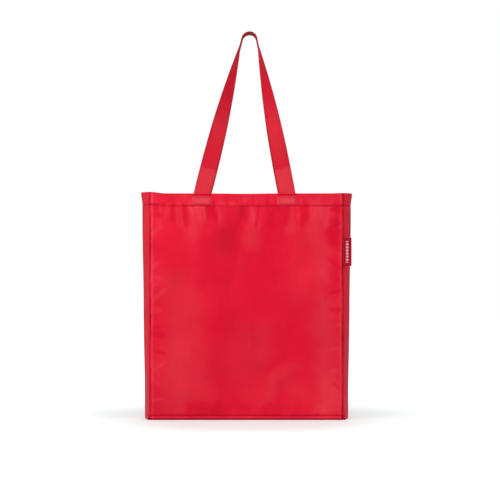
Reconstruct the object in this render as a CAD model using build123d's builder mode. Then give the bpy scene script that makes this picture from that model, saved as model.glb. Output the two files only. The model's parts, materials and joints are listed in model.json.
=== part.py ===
from build123d import *
import os
from math import acos, atan2, cos, hypot, radians, sin

# A foldable tote bag, open and standing. Millimetres, +Z up, -Y the front, +X the wearer's right
# when facing the front panel. The origin is on the floor, below the middle of the bag.
#
# The bag closes like an accordion: each side gusset has a middle crease, and so has the base. The
# hinge lines are the seams and creases, and every fabric plate stops short of them so that
# neighbouring plates can turn past each other.

FRONT, BACK = -1, 1
LEFT, RIGHT = -1, 1
STANDING = (Align.CENTER, Align.CENTER, Align.MIN)  # from its plane towards +Z
HANGING = (Align.CENTER, Align.CENTER, Align.MAX)  # from its plane towards -Z

# ---------------------------------------------------------------- driving dimensions
BAG_HEIGHT = 409.0
SEAM_X = 174.0  # side seams, either side of the middle
BAG_DEPTH = 110.0  # over the outsides of the front and back panels
GUSSET_BULGE = 14.0  # how far an open gusset's crease stands out beyond the seams
FABRIC = 0.6
HEM_HEIGHT = 24.0

PANEL_EDGE_GAP = 2.0  # from a panel's side edge to its seam line
PANEL_CORNER_RADIUS = 6.0
SEAM_CLEARANCE = 0.8  # from a panel's inner face to its seam's hinge line
GUSSET_GAP = 2.0  # from a gusset plate's edge to its hinge lines
GUSSET_HEM_SEAM_GAP = 3.0
GUSSET_HEM_CREASE_GAP = 4.0  # the doubled hem stays further from the crease, or it would bind
GUSSET_MITRE_START = 3.0  # height where a gusset's mitred foot starts
BASE_GAP = 1.6
BASE_SHORTFALL = 3.0  # how much shorter than the panels the base is, at each end
TUCK_GAP = 1.2  # along X or Z, between a corner tuck and its neighbours

TAPE_WIDTH = 9.0
TAPE_THICKNESS = 0.5
TAPE_INSET = 3.0  # from the seam line to the tape's near edge
TAPE_FOOT = 16.0
BASE_TAPE_FOOT = 3.0
BASE_TAPE_HALF = 166.0

STRAP_WIDTH = 30.0
STRAP_THICKNESS = 1.6
STRAP_FOOT_X = 77.0  # a strap's centre at the hem, either side of the handle's middle
HANDLE_SHIFT = -3.5  # the handle's middle at the hem
HANDLE_DRIFT = 9.0  # how far the apex drifts to +X as the handle stands
HANDLE_RISE = 294.0  # from the hem's edge to the strap's centre at the apex
ARCH_RADIUS = 13.6
APEX_Y = 16.0  # the two handles meet side by side at the top
BEND_HEIGHT = 100.0  # above the hem, where the straps start to close in on each other
BEND_GAP = 1.5  # either side of the bend's hinge line
CLOSING_CURVE = 1.5
TWIST_HEIGHT = 270.0  # height where the strap has turned edge-on
TWIST_CURVE = 1.4
ROOT_BOTTOM = 0.5  # above the hem's edge
ROOT_TOP = 5.0
LEG_START = 5.5
LEG_SETTLE = 20.0  # height over which the strap takes up its slope
LEG_STATIONS = 8
CROWN_STATIONS = 13

BARTACK_LENGTH = 33.0
BARTACK_WIDTH = 1.0
BARTACK_PROUD = 0.3
BARTACK_DROPS = (7.0, 19.0)  # below the hem's edge

LABEL_BOTTOM, LABEL_TOP = 278.0, 329.0
LABEL_REACH = 15.0
LABEL_THICKNESS = 0.8
LABEL_GAP = 0.5  # from the side seam to the label's inner end

POCKET_WIDTH = 150.0
POCKET_BOTTOM, POCKET_TOP = 215.0, 345.0
POCKET_DEPTH = 3.2
POCKET_TAPE_DROP = 1.0
POCKET_TAPE_WIDTH = 10.0

FLAP_WIDTH = 64.0
FLAP_HINGE_Z = 352.0
FLAP_SHOULDER_Z = 340.0
FLAP_TIP_Z = 302.0
FLAP_CORNER_RADIUS = 10.0
FLAP_OUTER_Y = 46.8
FLAP_ROOT_HEIGHT = 8.0

SNAP_Z = 316.0
SNAP_CAP_RADIUS = 6.25
SNAP_CAP_HEIGHT = 1.4
SNAP_SHANK_RADIUS = 2.0
SNAP_SHANK_LENGTH = 1.3
SNAP_SOCKET_RADIUS = 5.5
SNAP_SOCKET_HEIGHT = 2.2
SNAP_BORE_RADIUS = 2.8
SNAP_BORE_DEPTH = 1.4
SNAP_FLANGE_HEIGHT = 1.2
SNAP_KNOB_RADIUS = 2.5
SNAP_KNOB_LENGTH = 1.6
SNAP_POST_RADIUS = 5.0
SNAP_POST_HEIGHT = 0.8
SNAP_POST_SHANK_RADIUS = 1.5
SNAP_POST_SHANK_LENGTH = 1.4
SNAP_FIT = 0.1  # radial, between a shank and the hole it is set in
SNAP_CLOTH_HOLE_RADIUS = 2.1
SNAP_EDGE = 0.4

CARE_LABEL_WIDTH = 44.0
CARE_LABEL_BOTTOM, CARE_LABEL_TOP = 130.0, 190.0

# ---------------------------------------------------------------- worked out from them
OUTER_Y = BAG_DEPTH / 2
INNER_Y = OUTER_Y - FABRIC
HEM_INNER_Y = INNER_Y - FABRIC
HINGE_Y = INNER_Y - SEAM_CLEARANCE
PANEL_EDGE_X = SEAM_X - PANEL_EDGE_GAP
CREASE_X = SEAM_X + GUSSET_BULGE
GUSSET_LENGTH = hypot(GUSSET_BULGE, HINGE_Y)
STRAP_Y = HEM_INNER_Y - STRAP_THICKNESS / 2
POCKET_FRONT_Y = INNER_Y - POCKET_DEPTH
FLAP_INNER_Y = FLAP_OUTER_Y + FABRIC


# ---------------------------------------------------------------- shared shapes
def inward_plane(side, y):
    """An upright plane at depth y of one side, facing the inside of the bag, with Y as height."""
    return Plane(origin=(0, side * y, 0), x_dir=(side, 0, 0), z_dir=(0, -side, 0))


def gusset_plane(hand, side):
    """The plane of one gusset half: X runs from the panel seam to the crease, Y is height."""
    seam = Vector(hand * SEAM_X, side * HINGE_Y, 0)
    along = (Vector(hand * CREASE_X, 0, 0) - seam).normalized()
    return Plane(origin=seam, x_dir=along, z_dir=along.cross(Vector(0, 0, 1)))


def upright_strip(side, y, x, bottom, width, height, thickness):
    """A flat strip against one wall, growing inwards from depth y. x is the strip's middle."""
    with BuildPart() as strip:
        with BuildSketch(inward_plane(side, y)):
            with Locations((side * x, bottom + height / 2)):
                Rectangle(width, height)
        extrude(amount=thickness)
    return strip


def write_piece(piece, name):
    """Label a finished piece and write its STEP file."""
    piece.part.label = name
    export_step(piece.part, f"parts/{name}.step")


# ---------------------------------------------------------------- the bag's body
def panel(side):
    """A large wall with rounded feet and a doubled hem along its top."""
    with BuildPart() as piece:
        with BuildSketch(inward_plane(side, OUTER_Y)) as outline:
            with Locations((0, BAG_HEIGHT / 2)):
                Rectangle(2 * PANEL_EDGE_X, BAG_HEIGHT)
            fillet(outline.vertices().group_by(Axis.Y)[0], radius=PANEL_CORNER_RADIUS)
        extrude(amount=FABRIC)
        with BuildSketch(inward_plane(side, INNER_Y)):
            with Locations((0, BAG_HEIGHT - HEM_HEIGHT / 2)):
                Rectangle(2 * PANEL_EDGE_X, HEM_HEIGHT)
        extrude(amount=FABRIC)
    return piece


def gusset_half(hand, side):
    """Half of a side gusset, from a panel seam to the crease, with its foot mitred at 45 degrees."""
    far = GUSSET_LENGTH - GUSSET_GAP
    with BuildPart() as piece:
        with BuildSketch(gusset_plane(hand, side)):
            with BuildLine():
                Polyline(
                    (GUSSET_GAP, GUSSET_MITRE_START + GUSSET_GAP),
                    (far, GUSSET_MITRE_START + far),
                    (far, BAG_HEIGHT),
                    (GUSSET_GAP, BAG_HEIGHT),
                    close=True,
                )
            make_face()
        extrude(amount=FABRIC / 2, both=True)
        hem_length = GUSSET_LENGTH - GUSSET_HEM_SEAM_GAP - GUSSET_HEM_CREASE_GAP
        with BuildSketch(gusset_plane(hand, side)):
            with Locations((GUSSET_HEM_SEAM_GAP + hem_length / 2, BAG_HEIGHT - HEM_HEIGHT / 2)):
                Rectangle(hem_length, HEM_HEIGHT)
        extrude(amount=FABRIC, both=True)
    return piece


def base_half(side):
    """Half of the base, from a panel's foot to the middle crease, with both ends mitred."""
    near, far = BASE_GAP, HINGE_Y - BASE_GAP
    half_length = SEAM_X - BASE_SHORTFALL
    with BuildPart() as piece:
        with BuildSketch(Plane.XY):
            with BuildLine():
                Polyline(
                    (half_length - near, side * (HINGE_Y - near)),
                    (half_length - far, side * (HINGE_Y - far)),
                    (far - half_length, side * (HINGE_Y - far)),
                    (near - half_length, side * (HINGE_Y - near)),
                    close=True,
                )
            make_face()
        extrude(amount=FABRIC)
    return piece


def corner_tuck(hand):
    """The slack corner between a gusset's mitred foot and the base, which folds in as a tuck."""
    start = PANEL_EDGE_GAP / 2
    foot_x = SEAM_X - BASE_SHORTFALL - HINGE_Y + TUCK_GAP  # where the base's mitre ends
    foot_y = HINGE_Y - start
    rise = GUSSET_MITRE_START - TUCK_GAP
    with BuildPart() as piece:
        with BuildSketch(Plane.XY):
            with BuildLine():
                Polyline(
                    (hand * foot_x, 0),
                    (hand * (foot_x + foot_y), foot_y),
                    (hand * SEAM_X, foot_y),
                    (hand * CREASE_X, 0),
                    (hand * SEAM_X, -foot_y),
                    (hand * (foot_x + foot_y), -foot_y),
                    close=True,
                )
            make_face()
        extrude(amount=FABRIC)
        for side in (FRONT, BACK):
            with BuildSketch(gusset_plane(hand, side)):
                with BuildLine():
                    Polyline(
                        (start, 0),
                        (GUSSET_LENGTH, 0),
                        (GUSSET_LENGTH, rise + GUSSET_LENGTH),
                        (start, rise + start),
                        close=True,
                    )
                make_face()
            extrude(amount=FABRIC / 2, both=True)
    return piece


def side_seam_tape(side, hand):
    """Binding over the raw edges of a side seam, inside the bag."""
    middle = hand * (SEAM_X - TAPE_INSET - TAPE_WIDTH / 2)
    height = BAG_HEIGHT - HEM_HEIGHT - 1 - TAPE_FOOT
    return upright_strip(side, INNER_Y, middle, TAPE_FOOT, TAPE_WIDTH, height, TAPE_THICKNESS)


def base_seam_tape(side):
    """Binding over the raw edges of a base seam, inside the bag."""
    length = 2 * BASE_TAPE_HALF
    return upright_strip(side, INNER_Y, 0, BASE_TAPE_FOOT, length, TAPE_WIDTH, TAPE_THICKNESS)


# ---------------------------------------------------------------- the handles
def strap_end(side, hand):
    """The end of a handle's strap, sewn flat inside the hem."""
    middle = HANDLE_SHIFT + hand * STRAP_FOOT_X
    bottom = BAG_HEIGHT - HEM_HEIGHT
    return upright_strip(
        side, HEM_INNER_Y, middle, bottom, STRAP_WIDTH, HEM_HEIGHT, STRAP_THICKNESS
    )


def handle_roots(side):
    """The two short lengths of strap that stand on the hem, below the legs."""
    with BuildPart() as roots:
        with BuildSketch(Plane.XY.offset(BAG_HEIGHT + ROOT_BOTTOM)):
            for hand in (LEFT, RIGHT):
                with Locations((HANDLE_SHIFT + hand * STRAP_FOOT_X, side * STRAP_Y)):
                    Rectangle(STRAP_WIDTH, STRAP_THICKNESS)
        extrude(amount=ROOT_TOP - ROOT_BOTTOM)
    return roots


def leg_slope():
    """The angle from upright of a straight leg that runs tangent to the arch."""
    centre_rise = HANDLE_RISE - ARCH_RADIUS
    reach = hypot(STRAP_FOOT_X, centre_rise)
    return acos(ARCH_RADIUS / reach) - atan2(centre_rise, STRAP_FOOT_X)


def leg_stations(low, high, count):
    """Stations up a right leg between two heights: x, height, and the strap's outward angle."""
    slope = leg_slope()
    centre = HANDLE_RISE - ARCH_RADIUS
    stations = []
    for i in range(count):
        height = low + (high - low) * i / (count - 1)
        x = ARCH_RADIUS / cos(slope) + (centre - height) * sin(slope) / cos(slope)
        settled = min(1, (height - LEG_START) / LEG_SETTLE)
        stations.append((x, height, slope * settled))
    return stations


def mirrored(stations):
    """The same stations on the left leg, in descending order."""
    return [(-x, height, radians(180) - angle) for x, height, angle in reversed(stations)]


def strap_plane(side, x, height, outward):
    """The plane across the strap at a station. The strap turns edge-on as it rises."""
    drift = HANDLE_SHIFT + HANDLE_DRIFT * height / HANDLE_RISE
    closing = max(0, (height - BEND_HEIGHT) / (HANDLE_RISE - BEND_HEIGHT)) ** CLOSING_CURVE
    y = STRAP_Y - (STRAP_Y - APEX_Y) * closing
    twist = radians(90) * min(1, height / TWIST_HEIGHT) ** TWIST_CURVE
    flat = Vector(cos(outward), 0, sin(outward))
    return Plane(
        origin=(x + drift, side * y, BAG_HEIGHT + height),
        x_dir=flat * cos(twist) + Vector(0, side * sin(twist), 0),
        z_dir=(-sin(outward), 0, cos(outward)),
    )


def handle_legs(side):
    """The two lower legs of a handle, which swing from the hem."""
    right_leg = leg_stations(LEG_START, BEND_HEIGHT - BEND_GAP, LEG_STATIONS)
    with BuildPart() as legs:
        for leg in (right_leg, mirrored(right_leg)):
            for x, height, outward in leg:
                with BuildSketch(strap_plane(side, x, height, outward)):
                    Rectangle(STRAP_WIDTH, STRAP_THICKNESS)
            loft(ruled=True)
    return legs


def handle_arch(side):
    """The upper part of a handle, whose legs turn edge-on and meet in a narrow arch."""
    slope = leg_slope()
    centre = HANDLE_RISE - ARCH_RADIUS
    leg_top = centre + ARCH_RADIUS * sin(slope)
    right_leg = leg_stations(BEND_HEIGHT + BEND_GAP, leg_top, LEG_STATIONS + 1)[:-1]
    crown = []
    for i in range(CROWN_STATIONS):
        angle = slope + (radians(180) - 2 * slope) * i / (CROWN_STATIONS - 1)
        crown.append((ARCH_RADIUS * cos(angle), centre + ARCH_RADIUS * sin(angle), angle))
    with BuildPart() as arch:
        for x, height, outward in right_leg + crown + mirrored(right_leg):
            with BuildSketch(strap_plane(side, x, height, outward)):
                Rectangle(STRAP_WIDTH, STRAP_THICKNESS)
        loft(ruled=True)
    return arch


def bartacks(side):
    """Bars of dense stitching through the hem, above and below each sewn strap end."""
    with BuildPart() as bars:
        with BuildSketch(inward_plane(side, OUTER_Y + BARTACK_PROUD)):
            for hand in (LEFT, RIGHT):
                for drop in BARTACK_DROPS:
                    x = side * (HANDLE_SHIFT + hand * STRAP_FOOT_X)
                    with Locations((x, BAG_HEIGHT - drop)):
                        SlotOverall(BARTACK_LENGTH, BARTACK_WIDTH)
        extrude(amount=BARTACK_PROUD)
    return bars


# ---------------------------------------------------------------- labels
def side_label():
    """A folded label caught in the right front seam, standing out beside the gusset."""
    middle = SEAM_X + LABEL_GAP + LABEL_REACH / 2
    height = LABEL_TOP - LABEL_BOTTOM
    return upright_strip(
        FRONT, OUTER_Y, middle, LABEL_BOTTOM, LABEL_REACH, height, LABEL_THICKNESS
    )


def care_label():
    """A blank care label sewn flat inside the back panel, below the pocket."""
    height = CARE_LABEL_TOP - CARE_LABEL_BOTTOM
    return upright_strip(
        BACK, INNER_Y, 0, CARE_LABEL_BOTTOM, CARE_LABEL_WIDTH, height, TAPE_THICKNESS
    )


# ---------------------------------------------------------------- stow pocket and its flap
def stow_pocket():
    """A patch pocket inside the back panel, open at the top, which the folded bag goes into."""
    height = POCKET_TOP - POCKET_BOTTOM
    with BuildPart() as pocket:
        with BuildSketch(inward_plane(BACK, INNER_Y)):
            with Locations((0, POCKET_BOTTOM + height / 2)):
                Rectangle(POCKET_WIDTH, height)
        extrude(amount=POCKET_DEPTH)
        with BuildSketch(inward_plane(BACK, INNER_Y)):
            with Locations((0, POCKET_BOTTOM + FABRIC + height / 2)):
                Rectangle(POCKET_WIDTH - 2 * FABRIC, height)
        extrude(amount=POCKET_DEPTH - FABRIC, mode=Mode.SUBTRACT)
        with Locations(Plane(origin=(0, POCKET_FRONT_Y, SNAP_Z), z_dir=(0, -1, 0))):
            Hole(SNAP_CLOTH_HOLE_RADIUS, depth=FABRIC)
    return pocket


def pocket_edge_tape():
    """Binding along the pocket's mouth."""
    bottom = POCKET_TOP - POCKET_TAPE_DROP - POCKET_TAPE_WIDTH
    return upright_strip(
        BACK, POCKET_FRONT_Y, 0, bottom, POCKET_WIDTH, POCKET_TAPE_WIDTH, TAPE_THICKNESS
    )


def pocket_flap_root():
    """The flap's upper edge, sewn to the back panel above the pocket."""
    return upright_strip(
        BACK, INNER_Y, 0, FLAP_HINGE_Z, FLAP_WIDTH, FLAP_ROOT_HEIGHT, TAPE_THICKNESS
    )


def pocket_flap():
    """The flap, which slopes over the pocket's mouth and hangs in front of it."""
    with BuildPart() as flap:
        with BuildSketch(Plane.YZ.offset(-FLAP_WIDTH / 2)):
            with BuildLine():
                Polyline(
                    (HINGE_Y - FABRIC, FLAP_HINGE_Z - 1),
                    (FLAP_OUTER_Y, FLAP_SHOULDER_Z),
                    (FLAP_OUTER_Y, FLAP_TIP_Z),
                    (FLAP_INNER_Y, FLAP_TIP_Z),
                    (FLAP_INNER_Y, FLAP_SHOULDER_Z),
                    (HINGE_Y, FLAP_HINGE_Z - 1),
                    close=True,
                )
            make_face()
        extrude(amount=FLAP_WIDTH)
        tip_corners = flap.edges().filter_by(Axis.Y).group_by(Axis.Z)[0]
        fillet(tip_corners, radius=FLAP_CORNER_RADIUS)
        with Locations(Plane(origin=(0, FLAP_OUTER_Y, SNAP_Z), z_dir=(0, -1, 0))):
            Hole(SNAP_CLOTH_HOLE_RADIUS, depth=FABRIC)
    return flap


# ---------------------------------------------------------------- press stud
def stud_plane(y):
    """A plane across the press stud's axis, with Z towards the middle of the bag."""
    return Plane(origin=(0, y, SNAP_Z), z_dir=(0, -1, 0))


def snap_cap():
    """The cap on the flap's face, with the shank that rivets the socket on."""
    with BuildPart(stud_plane(FLAP_OUTER_Y)) as cap:
        Cylinder(SNAP_CAP_RADIUS, SNAP_CAP_HEIGHT, align=STANDING)
        fillet(cap.edges().group_by(Axis.Y)[0], radius=SNAP_CAP_HEIGHT * 0.6)
        Cylinder(SNAP_SHANK_RADIUS, SNAP_SHANK_LENGTH, align=HANGING)
    return cap


def snap_socket():
    """The socket behind the flap, with the bore that grips the stud's knob."""
    with BuildPart(stud_plane(FLAP_INNER_Y + SNAP_SOCKET_HEIGHT)) as socket:
        Cylinder(SNAP_SOCKET_RADIUS, SNAP_SOCKET_HEIGHT, align=STANDING)
        rim = socket.edges().group_by(Axis.Y)[-1]
        fillet(rim, radius=SNAP_EDGE)
        shank_hole = SNAP_SHANK_RADIUS + SNAP_FIT / 2
        Cylinder(shank_hole, SNAP_SOCKET_HEIGHT, align=STANDING, mode=Mode.SUBTRACT)
        Cylinder(SNAP_BORE_RADIUS, SNAP_BORE_DEPTH, align=STANDING, mode=Mode.SUBTRACT)
    return socket


def snap_stud():
    """The stud on the pocket's face, with the knob that the socket snaps over."""
    with BuildPart(stud_plane(POCKET_FRONT_Y)) as stud:
        Cylinder(SNAP_SOCKET_RADIUS, SNAP_FLANGE_HEIGHT, align=STANDING)
        fillet(stud.edges().group_by(Axis.Y)[0], radius=SNAP_EDGE)
        with Locations((0, 0, SNAP_FLANGE_HEIGHT)):
            Cylinder(SNAP_KNOB_RADIUS, SNAP_KNOB_LENGTH, align=STANDING)
        fillet(stud.edges().group_by(Axis.Y)[0], radius=SNAP_EDGE)
        post_hole = SNAP_POST_SHANK_RADIUS + SNAP_FIT / 2
        Cylinder(post_hole, SNAP_FLANGE_HEIGHT * 0.8, align=STANDING, mode=Mode.SUBTRACT)
    return stud


def snap_post():
    """The post behind the pocket's face, whose shank is set into the stud."""
    with BuildPart(stud_plane(POCKET_FRONT_Y + FABRIC + SNAP_POST_HEIGHT)) as post:
        Cylinder(SNAP_POST_RADIUS, SNAP_POST_HEIGHT, align=STANDING)
        with Locations((0, 0, SNAP_POST_HEIGHT)):
            Cylinder(SNAP_POST_SHANK_RADIUS, SNAP_POST_SHANK_LENGTH, align=STANDING)
    return post


# ---------------------------------------------------------------- the whole bag
os.makedirs("parts", exist_ok=True)

for side, end in ((FRONT, "front"), (BACK, "back")):
    write_piece(panel(side), f"{end}_panel")
    write_piece(base_half(side), f"base_{end}_half")
    write_piece(base_seam_tape(side), f"{end}_base_seam_tape")
    write_piece(handle_roots(side), f"{end}_handle_roots")
    write_piece(handle_legs(side), f"{end}_handle_legs")
    write_piece(handle_arch(side), f"{end}_handle_arch")
    write_piece(bartacks(side), f"{end}_handle_bartacks")
    for hand, flank in ((LEFT, "left"), (RIGHT, "right")):
        write_piece(gusset_half(hand, side), f"{flank}_gusset_{end}")
        write_piece(side_seam_tape(side, hand), f"{end}_{flank}_seam_tape")
        write_piece(strap_end(side, hand), f"{end}_handle_{flank}_end")

write_piece(corner_tuck(LEFT), "left_corner_tuck")
write_piece(corner_tuck(RIGHT), "right_corner_tuck")
write_piece(side_label(), "side_label")
write_piece(care_label(), "care_label")
write_piece(stow_pocket(), "stow_pocket")
write_piece(pocket_edge_tape(), "pocket_edge_tape")
write_piece(pocket_flap_root(), "pocket_flap_root")
write_piece(pocket_flap(), "pocket_flap")
write_piece(snap_cap(), "snap_cap")
write_piece(snap_socket(), "snap_socket")
write_piece(snap_stud(), "snap_stud")
write_piece(snap_post(), "snap_post")
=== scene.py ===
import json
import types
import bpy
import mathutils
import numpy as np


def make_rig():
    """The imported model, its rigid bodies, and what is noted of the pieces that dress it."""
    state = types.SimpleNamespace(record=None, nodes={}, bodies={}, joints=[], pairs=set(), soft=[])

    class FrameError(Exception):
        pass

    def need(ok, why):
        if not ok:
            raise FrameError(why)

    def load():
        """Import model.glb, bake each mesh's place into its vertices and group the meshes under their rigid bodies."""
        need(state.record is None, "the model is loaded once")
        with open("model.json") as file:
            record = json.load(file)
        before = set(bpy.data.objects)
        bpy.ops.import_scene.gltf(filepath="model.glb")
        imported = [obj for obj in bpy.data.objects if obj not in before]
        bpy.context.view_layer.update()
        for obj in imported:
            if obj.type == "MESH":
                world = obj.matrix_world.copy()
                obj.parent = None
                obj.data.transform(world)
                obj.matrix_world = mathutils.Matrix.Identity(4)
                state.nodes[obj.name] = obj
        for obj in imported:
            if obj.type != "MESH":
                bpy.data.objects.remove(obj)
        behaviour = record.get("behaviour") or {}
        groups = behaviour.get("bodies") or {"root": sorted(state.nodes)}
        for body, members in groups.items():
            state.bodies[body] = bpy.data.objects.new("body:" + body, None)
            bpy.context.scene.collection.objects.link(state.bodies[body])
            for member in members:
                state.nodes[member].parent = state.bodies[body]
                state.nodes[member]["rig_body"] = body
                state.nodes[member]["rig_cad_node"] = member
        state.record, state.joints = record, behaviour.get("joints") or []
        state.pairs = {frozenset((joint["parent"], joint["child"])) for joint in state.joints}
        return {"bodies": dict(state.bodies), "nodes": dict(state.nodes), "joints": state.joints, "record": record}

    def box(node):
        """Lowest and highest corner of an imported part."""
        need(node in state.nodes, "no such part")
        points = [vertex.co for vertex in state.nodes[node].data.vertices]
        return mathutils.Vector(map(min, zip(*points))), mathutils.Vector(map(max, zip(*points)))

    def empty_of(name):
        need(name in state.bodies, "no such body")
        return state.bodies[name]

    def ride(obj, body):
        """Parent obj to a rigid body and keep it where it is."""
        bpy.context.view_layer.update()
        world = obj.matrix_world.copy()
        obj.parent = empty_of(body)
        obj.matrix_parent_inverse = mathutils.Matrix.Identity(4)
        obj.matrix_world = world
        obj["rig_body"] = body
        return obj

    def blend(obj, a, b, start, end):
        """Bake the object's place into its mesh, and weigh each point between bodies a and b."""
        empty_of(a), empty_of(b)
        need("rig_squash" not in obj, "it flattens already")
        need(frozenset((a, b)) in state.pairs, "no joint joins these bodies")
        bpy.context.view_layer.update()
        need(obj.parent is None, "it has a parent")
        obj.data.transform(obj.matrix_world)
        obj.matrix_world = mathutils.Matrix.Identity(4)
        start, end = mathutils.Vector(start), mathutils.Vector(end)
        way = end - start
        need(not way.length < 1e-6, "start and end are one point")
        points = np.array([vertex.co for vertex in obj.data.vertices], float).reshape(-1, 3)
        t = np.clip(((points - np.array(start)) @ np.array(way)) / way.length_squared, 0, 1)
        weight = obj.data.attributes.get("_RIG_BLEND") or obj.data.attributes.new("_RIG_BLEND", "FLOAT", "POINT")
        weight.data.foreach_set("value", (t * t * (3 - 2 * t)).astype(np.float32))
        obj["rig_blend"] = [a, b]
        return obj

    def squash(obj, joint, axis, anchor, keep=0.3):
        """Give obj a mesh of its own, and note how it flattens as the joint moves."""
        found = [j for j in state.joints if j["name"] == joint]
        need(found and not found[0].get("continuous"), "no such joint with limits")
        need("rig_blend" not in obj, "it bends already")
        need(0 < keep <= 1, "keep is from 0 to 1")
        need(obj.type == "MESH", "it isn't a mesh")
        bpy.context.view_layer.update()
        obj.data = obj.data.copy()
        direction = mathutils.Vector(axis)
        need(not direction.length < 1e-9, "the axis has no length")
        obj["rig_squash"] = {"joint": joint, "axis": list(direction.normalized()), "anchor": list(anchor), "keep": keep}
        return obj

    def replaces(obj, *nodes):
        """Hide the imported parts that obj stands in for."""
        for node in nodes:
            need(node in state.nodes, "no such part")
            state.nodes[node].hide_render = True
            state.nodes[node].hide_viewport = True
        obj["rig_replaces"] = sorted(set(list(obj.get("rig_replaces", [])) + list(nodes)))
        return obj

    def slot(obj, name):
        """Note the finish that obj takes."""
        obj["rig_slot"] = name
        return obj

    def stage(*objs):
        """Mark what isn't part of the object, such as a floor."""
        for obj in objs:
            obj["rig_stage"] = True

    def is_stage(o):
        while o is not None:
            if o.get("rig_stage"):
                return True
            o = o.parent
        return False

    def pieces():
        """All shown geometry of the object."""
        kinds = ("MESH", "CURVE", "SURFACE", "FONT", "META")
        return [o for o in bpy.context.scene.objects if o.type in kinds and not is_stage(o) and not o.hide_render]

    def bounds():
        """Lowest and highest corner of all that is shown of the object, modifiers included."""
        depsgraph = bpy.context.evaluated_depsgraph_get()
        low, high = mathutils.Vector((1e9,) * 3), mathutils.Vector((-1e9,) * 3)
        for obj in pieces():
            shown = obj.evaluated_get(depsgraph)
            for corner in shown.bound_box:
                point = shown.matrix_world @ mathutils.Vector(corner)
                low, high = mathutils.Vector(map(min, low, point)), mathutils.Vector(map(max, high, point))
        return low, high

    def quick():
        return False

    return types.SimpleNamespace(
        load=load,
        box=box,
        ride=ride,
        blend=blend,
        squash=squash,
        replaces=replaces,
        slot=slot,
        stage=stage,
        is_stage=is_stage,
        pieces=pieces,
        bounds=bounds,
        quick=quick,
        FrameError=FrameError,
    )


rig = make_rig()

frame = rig.load()

import json
import math

import bmesh
import bpy
import numpy as np
from mathutils import Vector

# A foldable tote bag. Every length is in metres, in the frame of the CAD model: +Z up, -Y the
# front, origin on the floor. Fabric pieces are closed shells between two grids of points. A
# side is the bag's front or back, and a hand is its left or right.

cad_low, cad_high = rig.bounds()

MM = 0.001
FRONT, BACK = -1, 1
LEFT, RIGHT = -1, 1
SIDES = ((FRONT, "front", "front"), (BACK, "back", "rear"))  # side, its name in nodes, in bodies
HANDS = ((LEFT, "left"), (RIGHT, "right"))

# -------- sizes from the frame
joints = {joint["name"]: joint for joint in frame["joints"]}
panel_low, panel_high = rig.box("front_panel")
HEIGHT = panel_high[2]
OUTER_Y = -panel_low[1]
SEAM_X = joints["back_right_seam"]["pos_m"][0]
HINGE_Y = joints["back_right_seam"]["pos_m"][1]
CREASE_X = joints["right_crease"]["pos_m"][0]
CREASE_LENGTH = math.hypot(CREASE_X - SEAM_X, HINGE_Y)
BASE_Z = joints["base_crease"]["pos_m"][2]
BEND_Z = joints["front_handle_bend"]["pos_m"][2]
root_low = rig.box("front_handle_roots")[0]
end_low, end_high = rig.box("front_handle_right_end")
HEM = HEIGHT - end_low[2]

# The part of the back panel that things are sewn to inside.
POCKET_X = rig.box("stow_pocket")[1][0]
POCKET_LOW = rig.box("care_label")[0][2]
POCKET_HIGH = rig.box("pocket_flap_root")[1][2]
stud_low, stud_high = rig.box("snap_stud")
STUD_Z = (stud_low[2] + stud_high[2]) / 2

# Where the side label lies when it is turned onto the front panel.
LABEL_LOW, LABEL_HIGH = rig.box("side_label")[0][2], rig.box("side_label")[1][2]

# -------- looks of the cloth
FABRIC = 0.6 * MM
HEM_STITCH_Z = HEIGHT - HEM + 1.5 * MM
FOOT_ROLL = 7.6 * MM  # height of the rolled seam along the panel's foot
CORNER_RADIUS = 0.6 * MM  # of the bag's foot corners
SEAM_ROLL = 2.4 * MM  # how far in from the side seam the panel rolls back
FOLD_DEPTH = 1.2  # multiplies the heights of the broad slack folds
GUSSET_ZONE = (94 * MM, 126 * MM)  # from the middle out, where a folded gusset starts to lie
BASE_ZONE = (90 * MM, 52 * MM)  # from the top down, where the folded base starts to lie

SLACK_GRID = 10 * MM  # pitch of the simulated sheet
SLACK_FRAMES = 26
SLACK_EXTRA = 0.006  # how much larger the sheet is than its border, as a share
SLACK_LIMIT = 5 * MM  # the farthest that the simulation may move the cloth

STRAP_WIDTH = 30 * MM
STRAP_THICKNESS = 1.6 * MM
STRAP_FOOT_X = (end_high[0] - root_low[0] - STRAP_WIDTH) / 2
STRAP_MIDDLE = (end_high[0] + root_low[0]) / 2
STRAP_Y = -(end_low[1] + end_high[1]) / 2
STRAP_SEAM = 0.8  # where the edge stitching runs, as a share of the strap's half width
HANDLE_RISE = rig.box("front_handle_arch")[1][2] - HEIGHT - STRAP_THICKNESS / 2
HANDLE_DRIFT = 9 * MM  # how far the arch leans to the right
ARCH_RADIUS = 13.6 * MM
APEX_Y = 16 * MM  # how far from the bag's middle plane each arch stands
TWIST_HEIGHT = 270 * MM  # above the hem, where the strap has turned edge-on
TWIST_CURVE = 1.4
CLOSING_CURVE = 1.5  # power by which the arches lean towards each other
BEND_HEIGHT = BEND_Z - HEIGHT
SPLIT_HEIGHT = BEND_HEIGHT - 18 * MM  # where a handle's lower and upper pieces meet
LEG_SETTLE = 25 * MM  # above the hem, where a leg has taken up its slope
PALE_LENGTH = 45 * MM  # of each strap, next to the hem

BOX_HALF = 14.5 * MM  # half width of the stitched box on a strap's end
BOX_LOW, BOX_HIGH = HEIGHT - 19 * MM, HEIGHT - 7 * MM
BAR_STITCHES = 46

TAPE_X = (162 * MM, 171 * MM)  # inner and outer edge of a side seam's binding
TAPE_Z = (16 * MM, 384 * MM)
BASE_TAPE_X = 166 * MM
BASE_TAPE_Z = (3 * MM, 12 * MM)

MITRE_START = 3 * MM  # height of a gusset's mitred foot at the panel seam
BASE_MITRE_X = SEAM_X - 3 * MM
TUCK_OUTSET = 1.4 * MM  # how far outside the panel's seam a slack wall starts

FLAP_SHOULDER_Z = 340 * MM  # below it the flap hangs straight
FLAP_RADIUS = 12 * MM


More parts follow.
